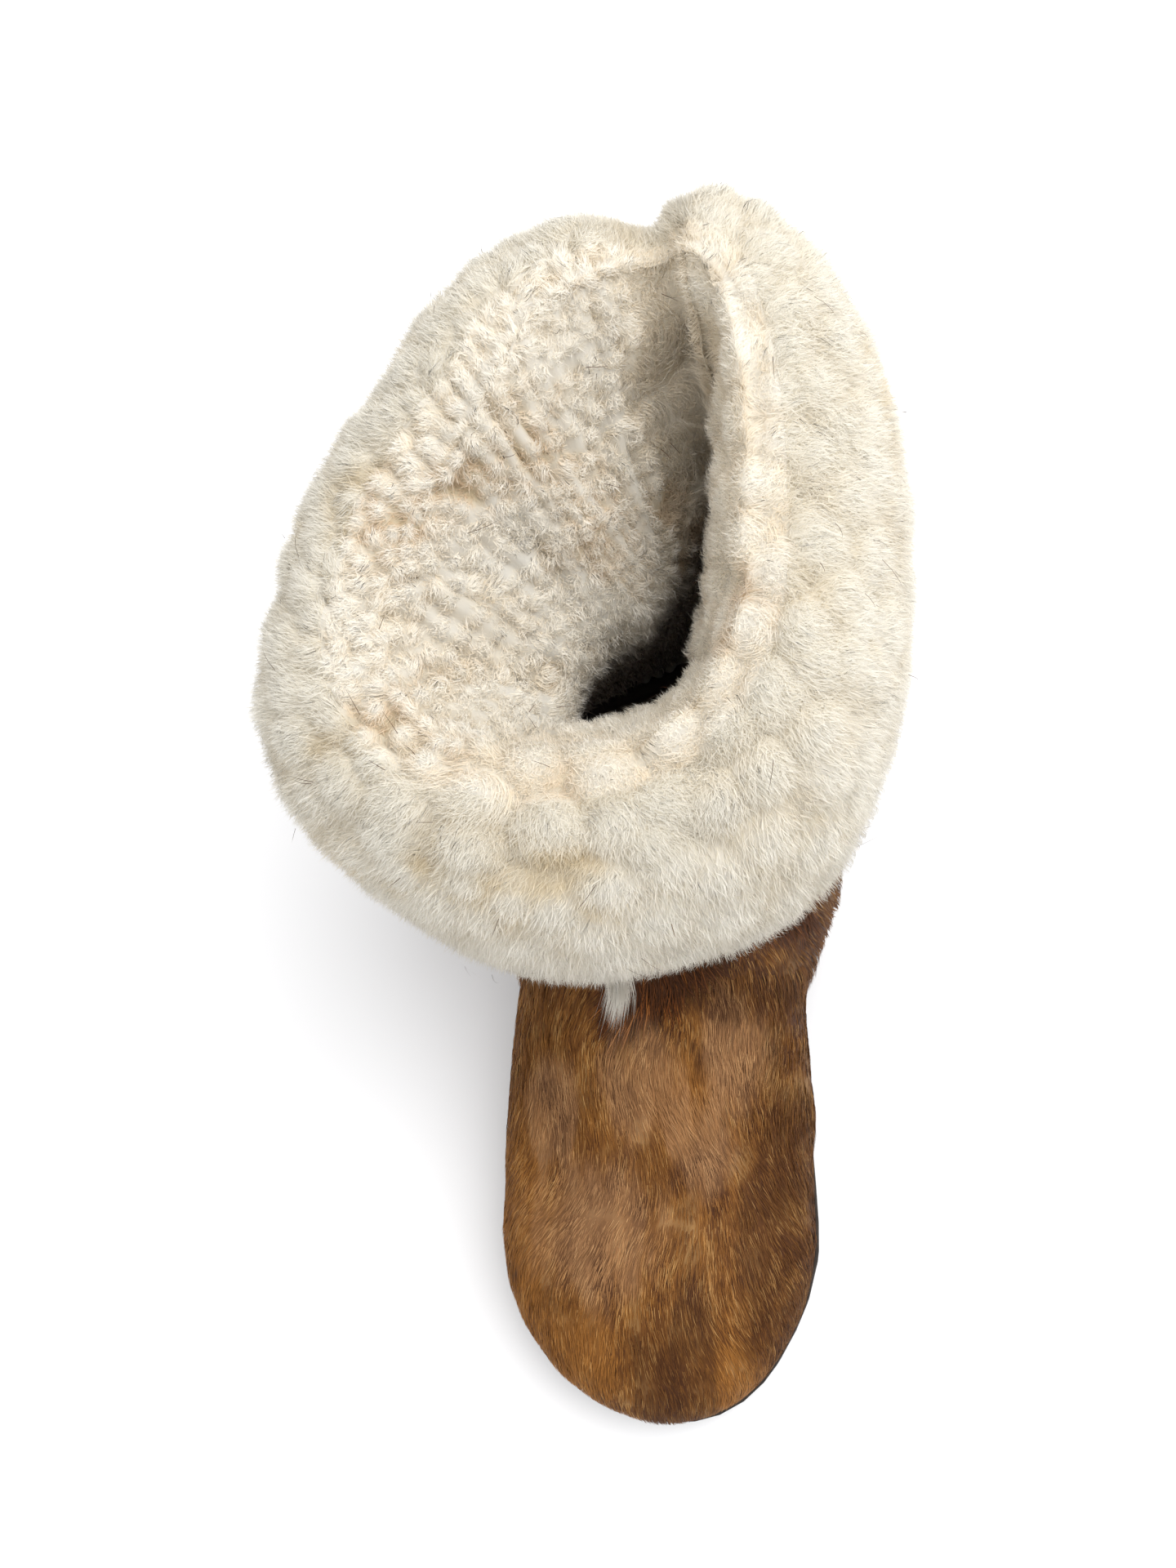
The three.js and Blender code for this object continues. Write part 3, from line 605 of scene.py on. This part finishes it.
# %% The fibres of the cuff
def wool_roots(low, high_v, count, seed):
    """Roots between two places of the profile. The wool lies outward over the roll and down, turned in each
    lock, and `shade` is the normal of the lock's dome, which shades its fibres as one soft form."""
    u, v = scatter(count, lambda u, v: ((v >= low) & (v < high_v)) * 1.0 + 1e-9, seed)
    v = np.clip(v, low, high_v)
    point, normal, down, around = net_frame(u, v)
    lock, away = nearest(lock_point, point)
    high, depth = dome(point, u, v, lock, away)
    root = point + normal * high[:, None]
    strength = lock_strength(u, v)
    angle = lock_lean[lock] * strength + 0.45 * waves(root, 30, 6) + 0.15 * waves(root, 10, 7)
    lean = unit(-np.cos(angle)[:, None] * down + np.sin(angle)[:, None] * around)
    offset = root - lock_point[lock]
    offset = offset - normal * (offset * normal).sum(-1, keepdims=True)
    strength = strength[:, None]
    shade = unit(normal + 0.5 * strength * offset / lock_gap[lock][:, None])
    return root, normal, lean, offset, shade, lock, depth, strength, nubby(u, v)[:, None]


def down_wool(name, low, high_v, count, length, width, seed):
    """Fine straight down: one face a fibre."""
    made = np.random.default_rng(seed)
    root, normal, lean, _, shade, lock, depth, _, _ = wool_roots(low, high_v, count, seed)
    heading = unit(normal * 0.55 + lean * 0.6 + made.normal(size=(count, 3)) * 0.42)
    long = length * made.uniform(0.5, 1.25, count)[:, None]
    tip = root + heading * long
    tone = np.clip(mix(lock_tone[lock], made.uniform(0, 1, count), 0.6), 0, 1)
    facing = unit(normal + made.normal(size=(count, 3)) * 0.5)
    thick = width * made.uniform(0.7, 1.3, count)
    return ribbons(name, root, (root + tip) / 2, tip, thick, facing, shade, tone, depth, 1, 0.95)


def wisp_wool(name, low, high_v, count, length, width, curl, seed):
    """Longer wisps, gathered in tens and bent round their lock."""
    made = np.random.default_rng(seed)
    root, normal, lean, offset, shade, lock, depth, strength, nub = wool_roots(low, high_v, count, seed)
    wisps = count // 10
    wisp, _ = nearest(root[:wisps], root)
    long = (length * made.uniform(0.7, 1.15, count))[:, None]
    swirl = np.cross(normal, offset) * lock_swirl[lock][:, None] * strength * curl
    tip = root + normal * long * 0.5 + lean * long * 0.62 + swirl - offset * 0.25 * strength
    tip = mix(tip, tip[:wisps][wisp] + (root - root[:wisps][wisp]) * 0.45, mix(0.2, 0.7, nub))
    tip = tip + made.normal(size=(count, 3)) * 0.5
    bend = root + normal * long * 0.55 + swirl * 0.6 + made.normal(size=(count, 3)) * 0.3
    tone = np.clip(mix(lock_tone[lock], made.uniform(0, 1, count), 0.4), 0, 1)
    facing = unit(normal + made.normal(size=(count, 3)) * 0.4)
    thick = width * made.uniform(0.7, 1.2, count)
    return ribbons(name, root, bend, tip, thick, facing, shade, tone, depth, 2, 0.9)


ROLL_START, ROLL_END, SHADE_START = CREST - 0.14, CREST + 0.02, 0.86
fleece = [
    down_wool("down_outside", 0.0, ROLL_START, 140000, 4.0, 0.26, 31),
    down_wool("down_roll", ROLL_START, ROLL_END, 90000, 3.8, 0.26, 32),
    down_wool("down_mouth", ROLL_END, SHADE_START, 140000, 2.6, 0.28, 33),
    down_wool("down_mouth_deep", SHADE_START, 0.98, 15000, 3.0, 0.5, 38),
    wisp_wool("wisps_edge", 0.0, 0.16, 7000, 7.0, 0.18, 0.1, 37),
    wisp_wool("wisps_outside", 0.12, ROLL_START, 6000, 5.0, 0.18, 0.2, 34),
    wisp_wool("wisps_roll", ROLL_START, ROLL_END, 9000, 4.8, 0.2, 0.5, 35),
    wisp_wool("wisps_mouth", ROLL_END, SHADE_START, 26000, 4.0, 0.24, 0.8, 36),
]

# %% [markdown]
# The hide is the animal's own skin with its coat of short hair. It is one wall: an outer face with hair, a
# rim at the collar and an inner face. Underneath, the wall is turned in and ends on the sole. Hair lies flat
# and points down the leg and along the vamp to the toe, as it grew.

# %% The hide's wall
HIDE_AROUND, HIDE_UP, HIDE_DOWN = 170, 110, 30
TURN_IN = 3.0


def seat_at(points):
    return seat_height(np.clip((points[..., 1] - TOE_END) / SOLE_LENGTH, 0, 1)) + CLEARANCE


turn_line = 0.5 + np.linspace(0, 1, HIDE_AROUND)
up = np.concatenate([np.linspace(-1, COLLAR, HIDE_UP), np.linspace(COLLAR, -0.9, HIDE_DOWN)])
outer = np.arange(len(up)) < HIDE_UP
place, turn = np.meshgrid(up, turn_line, indexing="ij")
out = np.where(outer[:, None], panel_step(place), -HIDE)
skin = skin_frame(place, turn % 1, out)[0]
under = skin[..., 2] < seat_at(skin) - TURN_IN
skin[..., 2] = np.maximum(skin[..., 2], seat_at(skin))
faces = grid_faces(len(up), HIDE_AROUND)
keep = ~under.ravel()[faces].all(1)
inner_face = (faces >= HIDE_UP * HIDE_AROUND).all(1)[keep]
skin_tone = waves(skin.reshape(-1, 3), 8, 3) / 2 + 0.5
strand = np.stack([np.full(place.size, 0.2), skin_tone, 0 * skin_tone], -1)
hide = mesh_object("hide", skin.reshape(-1, 3), faces[keep], strand, None, grid_map(len(up), HIDE_AROUND))
hide.data.polygons.foreach_set("material_index", inner_face.astype(np.int32))


# %% Where hair grows
def edge_height(turn):
    """Height of the hide's top edge at each turn."""
    line = np.linspace(0, 1, 181)
    heights = skin_frame(np.full(181, float(COLLAR)), line, PANEL_STEP)[0][:, 2]
    return np.interp(turn % 1, line, heights)


def scatter_skin(count, low, high, seed):
    """Random (place, turn) on the outer hide, even to the area, where neither cuff nor sole hides it."""
    made = np.random.default_rng(seed)
    cells = 200
    place, turn = np.meshgrid(np.linspace(low, high, cells), (np.arange(cells) + 0.5) / cells, indexing="ij")
    place, turn = place.ravel(), turn.ravel()
    step_p, step_t = (high - low) / cells / 2, 0.5 / cells
    along = form_point(place + step_p, turn) - form_point(place - step_p, turn)
    around = form_point(place, turn + step_t) - form_point(place, turn - step_t)
    point = skin_frame(place, turn, 0)[0]
    below_cuff = edge_height(turn) - point[:, 2] > CUFF_DROP - 16
    in_split = np.abs(turn - 0.5) * math.pi * BALL_WIDTH < SPLIT_WIDTH / 2 + 6
    shown = (below_cuff | in_split) & (point[:, 2] > seat_at(point) + 0.5)
    weight = np.linalg.norm(np.cross(around, along), axis=-1) * shown
    cell = made.choice(len(place), count, p=weight / weight.sum())
    spread = made.uniform(-1, 1, (2, count))
    return np.maximum(place[cell] + spread[0] * step_p, -0.999), (turn[cell] + spread[1] * step_t) % 1


def onto(normal, wanted):
    """The direction on the surface that comes nearest to the wanted one."""
    return unit(wanted - normal * (wanted * normal).sum(-1, keepdims=True))


def coat_direction(place, point, normal):
    """Hair points forward along the vamp and down the leg, with soft cowlicks."""
    leg = step_between(2.4, 4.2, place)[:, None]
    wanted = mix(np.array([0.0, -1.0, -0.35]), np.array([0.0, -0.35, -1.0]), leg)
    fan = np.stack([point[:, 0] * 0.006, 0 * place, 0 * place], -1) * (1 - leg)
    straight = onto(normal, wanted + fan)
    aside = np.cross(normal, straight)
    bend = 0.32 * waves(point, 34, 8) + 0.14 * waves(point, 9, 9)
    return unit(straight + aside * bend[:, None])


# %% The coat
def coat(name, low, high, count, length, width, seed, lift=0.16, pieces=2):
    made = np.random.default_rng(seed)
    place, turn = scatter_skin(count, low, high, seed)
    point, normal = skin_frame(place, turn, panel_step(place))
    heading = coat_direction(place, point, normal)
    aside = np.cross(normal, heading)
    wisp, _ = nearest(point[: count // 7], point)
    long = (length * made.uniform(0.7, 1.2, count) * (1 + 0.15 * waves(point, 12, 4)))[:, None]
    raise_by = (lift * made.uniform(0.5, 1.7, count))[:, None]
    stray = (made.normal(0, 0.1, count))[:, None]
    root = point - normal * 0.4
    tip = root + heading * long + normal * long * raise_by + aside * long * stray
    tip = mix(tip, tip[: count // 7][wisp] + (root - root[: count // 7][wisp]) * 0.8, 0.5)
    bend = root + heading * long * 0.45 + normal * long * (raise_by * 1.0 + 0.04)
    facing = unit(normal + made.normal(size=(count, 3)) * 0.35)
    streaked = point * [1.0, 0.28, 0.28]
    tone = np.clip(0.5 + 0.14 * waves(streaked, 3.5, 14) + made.normal(0, 0.25, count), 0, 1)
    thick = width * made.uniform(0.6, 1.2, count)
    return ribbons(name, root, bend, tip, thick, facing, normal, tone, 0 * tone, pieces, 0.55)


hair = [
    coat("hair_vamp", -1.0, PANEL_ROW - 0.02, 50000, 6.5, 0.32, 41, 0.12),
    coat("hair_leg", PANEL_ROW - 0.02, COLLAR - 0.1, 34000, 9.0, 0.4, 42),
]

# %% Long hair under the cuff
look_place, look_turn = np.meshgrid(np.linspace(-0.9, 6, 260), np.linspace(-0.26, 0.26, 200), indexing="ij")
look_place, look_turn = look_place.ravel(), look_turn.ravel()
look_point = (skin_frame(look_place, look_turn, panel_step(look_place))[0] + SHIFT) * [1, 1, 0]


def long_hair(name, x, y, length, aside, width, tone, lift, seed):
    """Bent hairs with roots above (x, y) of the frame, in millimetres, lying forward over the vamp."""
    made = np.random.default_rng(seed)
    found, _ = nearest(look_point, np.stack([x, y, 0 * x], -1))
    place, turn = look_place[found], look_turn[found] % 1
    point, normal = skin_frame(place, turn, panel_step(place))
    heading = coat_direction(place, point, normal)
    heading = unit(heading + np.cross(normal, heading) * aside[:, None])
    long = (length * made.uniform(0.7, 1.15, len(x)))[:, None]
    root = point - normal * 0.3
    tip = root + heading * long + normal * long * (lift * made.uniform(0.4, 1.3, len(x)))[:, None]
    bend = root + heading * long * 0.4 + normal * long * lift * 1.1
    facing = unit(normal + made.normal(size=(len(x), 3)) * 0.3)
    thick = width * made.uniform(0.6, 1.2, len(x))
    return ribbons(name, root, bend, tip, thick, facing, normal, tone, 0 * tone, 3, 0.6)


# These dark hairs stand partly for the shadow under the cuff's edge: painted shade as well as dark hair.
FRINGE = 5200
along = chance.uniform(0, 1, FRINGE)
behind = chance.uniform(1, 20, FRINGE)
fringe_x = -8 + 62 * along - 0.25 * behind
fringe_y = -33 + 36 * along + behind
fringe_aside = chance.normal(0.1, 0.2, FRINGE)
fringe_tone = np.clip(chance.normal(0.35, 0.28, FRINGE), 0, 1)
fringe = long_hair("fringe", fringe_x, fringe_y, 15.0, fringe_aside, 0.36, fringe_tone, 0.24, 51)

# %% A white lock that hangs from the cuff's edge
TUFT = 420
made = np.random.default_rng(52)
apart = made.normal(size=(TUFT, 3))
tuft_u = 0.514 + 0.002 * apart[:, 0]
tuft_root, tuft_normal, _, _ = net_frame(tuft_u, np.clip(0.07 + 0.03 * apart[:, 1], 0.02, 0.2))
tuft_long = made.uniform(0.55, 1.1, (TUFT, 1)) * 24
tuft_tip = tuft_root + unit(np.array([-0.12, -0.5, -0.86]) + 0.05 * apart[:, [0, 2, 1]]) * tuft_long
tuft_bend = tuft_root + unit(np.array([0.08, -0.2, -1.0]) + 0.06 * apart) * tuft_long * 0.5
tuft_thick = 0.3 * made.uniform(0.5, 1.2, TUFT)
tuft_shade = unit(tuft_normal + [0, -0.5, 0.5])
tuft = ribbons(
    "white_tuft", tuft_root, tuft_bend, tuft_tip, tuft_thick, unit(apart + [0, -1.5, 0.5]), tuft_shade,
    made.uniform(0.3, 1, TUFT), np.zeros(TUFT), 3, 0.8,
)

# %% Single dark hairs that cling to the wool
STRAYS = 90
made = np.random.default_rng(61)
stray_u, stray_v = scatter(STRAYS, lambda u, v: (v < MOUTH) * 1.0, 61)
stray_root, stray_normal, stray_down, stray_around = net_frame(stray_u, stray_v)
stray_root = stray_root + stray_normal * 1.5
stray_turn = made.uniform(0, TURN, (STRAYS, 1))
stray_way = np.cos(stray_turn) * stray_down + np.sin(stray_turn) * stray_around
stray_long = made.uniform(3, 9, (STRAYS, 1))
stray_bend = stray_root + stray_way * stray_long * 0.5 + stray_normal * made.uniform(1, 3, (STRAYS, 1))
stray_tip = stray_root + stray_way * stray_long + stray_normal * made.uniform(0, 3, (STRAYS, 1))
strays = ribbons(
    "stray_hairs", stray_root, stray_bend, stray_tip, np.full(STRAYS, 0.16), stray_normal, stray_normal,
    made.uniform(0, 0.3, STRAYS), np.zeros(STRAYS), 3, 0.5,
)
for piece in [tuft, fringe, strays] + hair + fleece:
    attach(piece, "root")
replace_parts(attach(hide, "root"), "upper")
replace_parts(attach(wool_skin, "root"), "cuff")

# %% [markdown]
# Shader maths reads best as plain sums. A small class wraps a node's output, so that `1 - mask` or
# `noise * 0.3` adds its own Math node. Colours never go through Math nodes, which would turn them grey: Mix
# nodes blend them. One method makes every other kind of node.


# %% Sockets that can be added and multiplied
class Socket:
    """One output of a node. A sum or product with it adds a Math node."""

    def __init__(self, paint, output):
        self.paint, self.output = paint, output

    def math(self, operation, *values):
        return self.paint.node("Math", {"operation": operation}, dict(enumerate(values)))["Value"]

    def __add__(self, other):
        return self.math("ADD", self, other)

    def __sub__(self, other):
        return self.math("SUBTRACT", self, other)

    def __rsub__(self, other):
        return self.math("SUBTRACT", other, self)

    def __mul__(self, other):
        return self.math("MULTIPLY", self, other)

    __radd__ = __add__
    __rmul__ = __mul__


# %% A material that grows node by node
class Paint:
    """A material's node tree, with one method for every node."""

    def __init__(self, name):
        self.material = bpy.data.materials.new(name)
        self.material.use_nodes = True
        self.tree = self.material.node_tree
        self.tree.nodes.clear()

    def node(self, kind, settings=None, inputs=None):
        made = self.tree.nodes.new("ShaderNode" + kind)
        for name, value in (settings or {}).items():
            if name == "stops":
                set_stops(made.color_ramp, value)
            else:
                setattr(made, name, value)
        for name, value in (inputs or {}).items():
            if isinstance(value, Socket):
                self.tree.links.new(value.output, made.inputs[name])
            else:
                made.inputs[name].default_value = value
        return {output.name: Socket(self, output) for output in made.outputs if output.enabled}

    def blend(self, share, first, second, how="MIX"):
        """A colour between two colours."""
        inputs = {0: share, 6: first, 7: second}
        return self.node("Mix", {"data_type": "RGBA", "blend_type": how}, inputs)["Result"]

    def ramp(self, value, *stops):
        return self.node("ValToRGB", {"stops": stops}, {"Fac": value})["Color"]

    def between(self, value, low, high):
        """0 below low, 1 above high and smooth between."""
        inputs = {"Value": value, "From Min": low, "From Max": high}
        return self.node("MapRange", {"interpolation_type": "SMOOTHSTEP"}, inputs)["Result"]

    def noise(self, size, detail=2.0, rough=0.5, at=None):
        """Cloudy noise with hills about `size` millimetres across."""
        at = at or self.place()
        inputs = {"Vector": at, "Scale": 0.5 / (size * MM), "Detail": detail, "Roughness": rough}
        return self.node("TexNoise", {}, inputs)["Fac"]

    def place(self):
        return self.node("TexCoord")["Object"]

    def combed(self):
        """The same place drawn out along the hair, for streaks."""
        drawn = {0: self.place(), 1: (1.0, 0.25, 0.25)}
        return self.node("VectorMath", {"operation": "MULTIPLY"}, drawn)["Vector"]

    def strand(self):
        """The three numbers of a hair: place along it, its tone, its depth between locks."""
        found = self.node("Attribute", {"attribute_name": "strand"})["Vector"]
        parts = self.node("SeparateXYZ", {}, {"Vector": found})
        return parts["X"], parts["Y"], parts["Z"]

    def finish(self, colour, bump=None, bump_depth=0.0003, through=None, **plain):
        """Closes the tree with a Principled shader, and `plain` is set on its own sockets. `through` is the
        share and colour of the light that a thin fibre lets pass."""
        inputs = {"Base Color": colour, **{name.replace("_", " "): value for name, value in plain.items()}}
        if bump is not None:
            raised = self.node("Bump", {}, {"Height": bump, "Distance": bump_depth, "Strength": 1.0})
            inputs["Normal"] = raised["Normal"]
        shader = self.node("BsdfPrincipled", {}, inputs)["BSDF"]
        if through is not None:
            passed = self.node("BsdfTranslucent", {}, {"Color": through[1]})["BSDF"]
            shader = self.node("MixShader", {}, {0: through[0], 1: shader, 2: passed})["Shader"]
        self.node("OutputMaterial", {}, {"Surface": shader})
        return self.material


def set_stops(ramp, stops):
    while len(ramp.elements) < len(stops):
        ramp.elements.new(0.5)
    for element, (position, colour) in zip(ramp.elements, stops):
        element.position = position
        element.color = colour


def srgb(red, green, blue):
    """A colour as a screen shows it, 0 to 255, made linear."""
    parts = [value / 255 for value in (red, green, blue)]
    linear = [p / 12.92 if p <= 0.04045 else ((p + 0.055) / 1.055) ** 2.4 for p in parts]
    return (*linear, 1.0)


print("cream:", [round(value, 3) for value in srgb(240, 232, 216)])

# %% [markdown]
# Undyed wool is cream at its tips and warmer towards the skin, where it holds lanolin and dust. So the colour
# runs along each fibre and with its depth between the locks, where it is darker partly from lanolin and
# partly as painted shade, and soft stains of straw and rose lie over that. Painted shade makes the hanging
# edge greyer than the roll and takes the fleece over to brown deep in the mouth. The wool of the mouth is
# paler than the outer wool, which is painted light on its inner wall.


# %% Wool
def wool_finish(name, tip, root, stain, stain_share, valley, low, painted_shade_share, painted_shade_end, painted_shade_start):
    """`low` is painted shade, the colour that the wool takes low down where less light reaches it: it comes
    in below the last height and is full below the one before, in metres.
    """
    paint = Paint(name)
    along, tone, depth = paint.strand()
    # Lighter to the tips; darker deep between the locks, partly from lanolin and partly as painted shade.
    light = paint.between(along * 0.5 + tone * 0.3 - depth * valley, -0.5, 0.4)
    colour = paint.blend(light, root, tip)
    cloud = paint.between(paint.noise(24, 3.0, 0.6), 0.5, 0.7)
    deep = paint.between(depth - along * 0.4, 0.1, 0.8)
    colour = paint.blend(cloud * stain_share * (0.12 + 0.88 * deep), colour, stain)
    height = paint.node("SeparateXYZ", {}, {"Vector": paint.place()})["Z"]
    # Painted shade: towards the bottom the colour goes over to `low`.
    painted_shade_low = 1 - paint.between(height + paint.noise(12) * 0.02, painted_shade_end, painted_shade_start)
    colour = paint.blend(painted_shade_low * painted_shade_share, colour, low)
    return paint.finish(colour, through=(0.5, tip), Roughness=1.0, Specular_IOR_Level=0.05)


# The grey that the outer wool takes low on the hanging edge is painted shade.
WOOL = wool_finish(
    "wool", srgb(243, 240, 232), srgb(227, 216, 195), srgb(216, 194, 150), 0.8, 0.4,
    srgb(176, 170, 159), 0.7, 0.16, 0.215,
)
# Paler than the outer wool, as painted light on the mouth's inner wall; its brown low down is painted shade.
MOUTH_WOOL_PAINTED_LIGHT_AND_SHADE = wool_finish(
    "mouth_wool_painted_light_and_shade", srgb(252, 249, 242), srgb(236, 223, 202), srgb(208, 176, 138), 0.8, 0.6,
    srgb(96, 74, 56), 0.85, 0.16, 0.215,
)
for piece in fleece:
    piece.data.materials.append(MOUTH_WOOL_PAINTED_LIGHT_AND_SHADE if "mouth" in piece.name else WOOL)
wool_skin.data.materials.append(WOOL)

# %% [markdown]
# The coat is a warm mid brown. Seen close it is a mix of golden, brown and nearly black hairs, and where the
# skin was stretched or brushed the paler roots show as soft rosy patches. The patches are listed in
# millimetres on the vamp as seen from above.

# %% Hide and hair
PATCHES = {
    "rosy": ((-18, -98, 26, 24), (-2, -52, 14, 20), (20, -70, 10, 16), (30, -40, 12, 18), (-34, -60, 10, 16)),
    # Along the right edge and in the band under the cuff's edge these dark patches are painted shade and
    # darker hair.
    "dark": ((6, -150, 9, 22), (18, -140, 7, 30), (46, -90, 14, 70), (30, -20, 36, 10), (58, 20, 16, 50)),
    "golden": ((12, -58, 14, 16), (-46, -110, 14, 50), (30, -146, 12, 16), (-24, -140, 16, 16)),
}


def patch_mask(paint, rows, strength):
    """Soft ovals at (x, y) in the frame, with radii (x, y), all in millimetres."""
    parts = paint.node("SeparateXYZ", {}, {"Vector": paint.place()})
    wobble = (paint.noise(5, 4.0, 0.6, paint.combed()) - 0.5) * 3.0
    total = None
    for x, y, wide, deep in rows:
        across = (parts["X"] - x * MM) * (1 / (wide * MM))
        down = (parts["Y"] - y * MM) * (1 / (deep * MM))
        mask = 1 - paint.between(across * across + down * down + wobble, 0.0, 1.8)
        total = mask if total is None else total + mask
    return paint.between(total, 0.0, 1.0) * strength


def coat_finish(name, hair_on, *shades):
    paint = Paint(name)
    along, tone, _ = paint.strand()
    colour = paint.ramp(tone, *zip((0.0, 0.35, 0.7, 1.0), shades))
    cloud = paint.between(paint.noise(7, 4.0, 0.65, paint.combed()), 0.36, 0.66)
    colour = paint.blend(cloud * 0.4, colour, srgb(88, 50, 17))
    golden = patch_mask(paint, PATCHES["golden"], 0.4)
    rosy = patch_mask(paint, PATCHES["rosy"], 0.5) * (0.35 + 0.65 * tone)
    # Partly painted shade: the dark patches under the cuff and along the right edge.
    dark = patch_mask(paint, PATCHES["dark"], 0.75) * (1.1 - 0.6 * tone)
    colour = paint.blend(golden, colour, srgb(178, 118, 52))
    colour = paint.blend(rosy, colour, srgb(204, 160, 120))
    colour = paint.blend(dark, colour, srgb(62, 34, 14))
    colour = paint.blend(0.5 - 0.5 * along if hair_on else 0.6, colour, srgb(64, 36, 16))
    return paint.finish(colour, Roughness=0.65, Specular_IOR_Level=0.15)


def plain_finish(name, size, detail, rough, dark, light, depth, edge=0.3, **plain):
    """A finish between a dark and a light shade, with a fine grain that also raises it."""
    paint = Paint(name)
    grain = paint.noise(size, detail, rough)
    colour = paint.ramp(grain, (edge, dark), (1 - edge, light))
    return paint.finish(colour, grain, depth, **plain)


SHORT = srgb(74, 40, 13), srgb(128, 81, 33), srgb(164, 110, 50), srgb(208, 160, 98)
# The long hairs' darker shades are partly painted shade, for the shadowed band under the cuff.
LONG_DARK_HAIR_AND_SHADE = srgb(40, 20, 8), srgb(70, 36, 14), srgb(134, 74, 28), srgb(190, 120, 56)
HAIR = coat_finish("coat", True, *SHORT)
LONG_HAIR = coat_finish("long_coat_dark_and_shade", True, *LONG_DARK_HAIR_AND_SHADE)
SKIN = coat_finish("hide_skin", False, *SHORT)
hide.data.materials.append(SKIN)
# The hide's dark brown inner face is painted shade, for the dark inside of the boot.
hide.data.materials.append(plain_finish(
    "hide_inside", 2.5, 5, 0.7, srgb(46, 32, 24), srgb(74, 54, 40), 0.0005, Roughness=1, Sheen_Weight=0.15,
))
tuft.data.materials.append(WOOL)
for piece in hair + [fringe, strays]:
    piece.data.materials.append(HAIR if piece in hair else LONG_HAIR)

# %% Rubber
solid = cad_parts["outsole"]
solid.data.materials.clear()
solid.data.materials.append(plain_finish(
    "rubber", 1.2, 4, 0.7, srgb(34, 29, 26), srgb(56, 49, 43), 0.0004, Roughness=0.8, Specular_IOR_Level=0.3,
))
print("the outsole keeps its solid:", len(solid.data.polygons), "faces")

# %% [markdown]
# The insole is a pad of pressed felt. Felt has no sharp edge, so the plain pad is copied, remeshed finely,
# rounded by smoothing and pressed in a little where the heel and the ball of the foot bear on it.

# %% The felt insole
felt = placed("felt_insole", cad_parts["insole"].data.copy())
remesh = felt.modifiers.new("remesh", "REMESH")
remesh.mode = "VOXEL"
remesh.voxel_size = 1.6 * MM
smooth = felt.modifiers.new("smooth", "SMOOTH")
smooth.factor = 0.5
smooth.iterations = 6
whole = bpy.data.meshes.new_from_object(felt.evaluated_get(bpy.context.evaluated_depsgraph_get()))
felt.modifiers.clear()
felt.data = whole
places = np.empty(len(whole.vertices) * 3, np.float32)
whole.vertices.foreach_get("co", places)
places = places.reshape(-1, 3)
for x, y, wide, deep in ((1, 70, 22, 30), (-1, -75, 34, 34)):
    worn = np.exp(-(((places[:, 0] / MM - x) / wide) ** 2) - ((places[:, 1] / MM - y) / deep) ** 2)
    top = seat_height(np.clip((places[:, 1] / MM - SHIFT[1] - TOE_END) / SOLE_LENGTH, 0, 1)) + CLEARANCE + 3
    places[:, 2] -= np.where(places[:, 2] / MM > top, 1.1 * worn * MM, 0).astype(np.float32)
whole.vertices.foreach_set("co", places.ravel())
whole.polygons.foreach_set("use_smooth", np.ones(len(whole.polygons), bool))
whole.update()
whole.materials.clear()
# The felt's dark brown is painted shade, so that the bottom of the boot's mouth looks dark.
whole.materials.append(plain_finish(
    "felt", 1.5, 6, 0.75, srgb(78, 62, 48), srgb(108, 88, 68), 0.0008, 0.25, Roughness=1, Sheen_Weight=0.3,
))
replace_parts(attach(felt, "root"), "insole")
print("felt insole:", len(whole.polygons), "faces")

# %% [markdown]
# The camera is a phone's wide lens held above the toes and tilted steeply down. It keeps the photo's place
# beside the boot, and turns only as far as it must to bring this one boot to the middle of the picture.

# %% Camera
PHOTO_HEIGHT = 1920
PHOTO_FOCAL = 1443
EYE = Vector((83, -113.7, 546)) * MM
TILT = math.radians(70)
AIM = Vector((-14, 35, 130)) * MM
ZOOM = 1.2

lens = bpy.data.cameras.new("camera")
lens.sensor_width = 36
lens.lens = lens.sensor_width * PHOTO_FOCAL / PHOTO_HEIGHT * ZOOM
camera = placed("camera", lens)
looked = Vector((0, math.cos(TILT), -math.sin(TILT)))
held = looked.to_track_quat("-Z", "Y")
camera.rotation_mode = "QUATERNION"
camera.rotation_quaternion = looked.rotation_difference(AIM - EYE) @ held
camera.location = EYE
lens.clip_start, lens.clip_end = 0.01, 20
bpy.context.scene.camera = camera
turned = math.degrees(looked.angle(AIM - EYE))
print("lens:", round(lens.lens, 1), "mm, turned by", round(turned, 1), "degrees")

# %% Floor and light
floor_mesh = bpy.data.meshes.new("floor")
reach = 3.0
floor_corners = [(-reach, -reach, 0), (reach, -reach, 0), (reach, reach, 0), (-reach, reach, 0)]
floor_mesh.from_pydata(floor_corners, [], [(0, 1, 2, 3)])
floor = placed("floor", floor_mesh)
paint = Paint("floor")
floor_mesh.materials.append(paint.finish(srgb(246, 246, 247), Roughness=0.9, Specular_IOR_Level=0.1))


def softbox(name, place, size, power):
    light = bpy.data.lights.new(name, "AREA")
    light.shape = "DISK"
    light.size = size
    light.energy = power
    made = placed(name, light)
    made.location = place
    made.rotation_euler = (Vector((0, 0, 0.1)) - Vector(place)).to_track_quat("-Z", "Y").to_euler()


softbox("window", (0.6, 0.1, 1.35), 1.4, 25)
softbox("fill", (-0.9, -0.9, 1.2), 1.2, 3)
world = bpy.data.worlds.new("studio")
world.use_nodes = True
sky = world.node_tree.nodes["Background"].inputs
sky["Color"].default_value = (1, 1, 1, 1)
sky["Strength"].default_value = 0.65
bpy.context.scene.world = world
bpy.context.scene.view_settings.view_transform = "Standard"
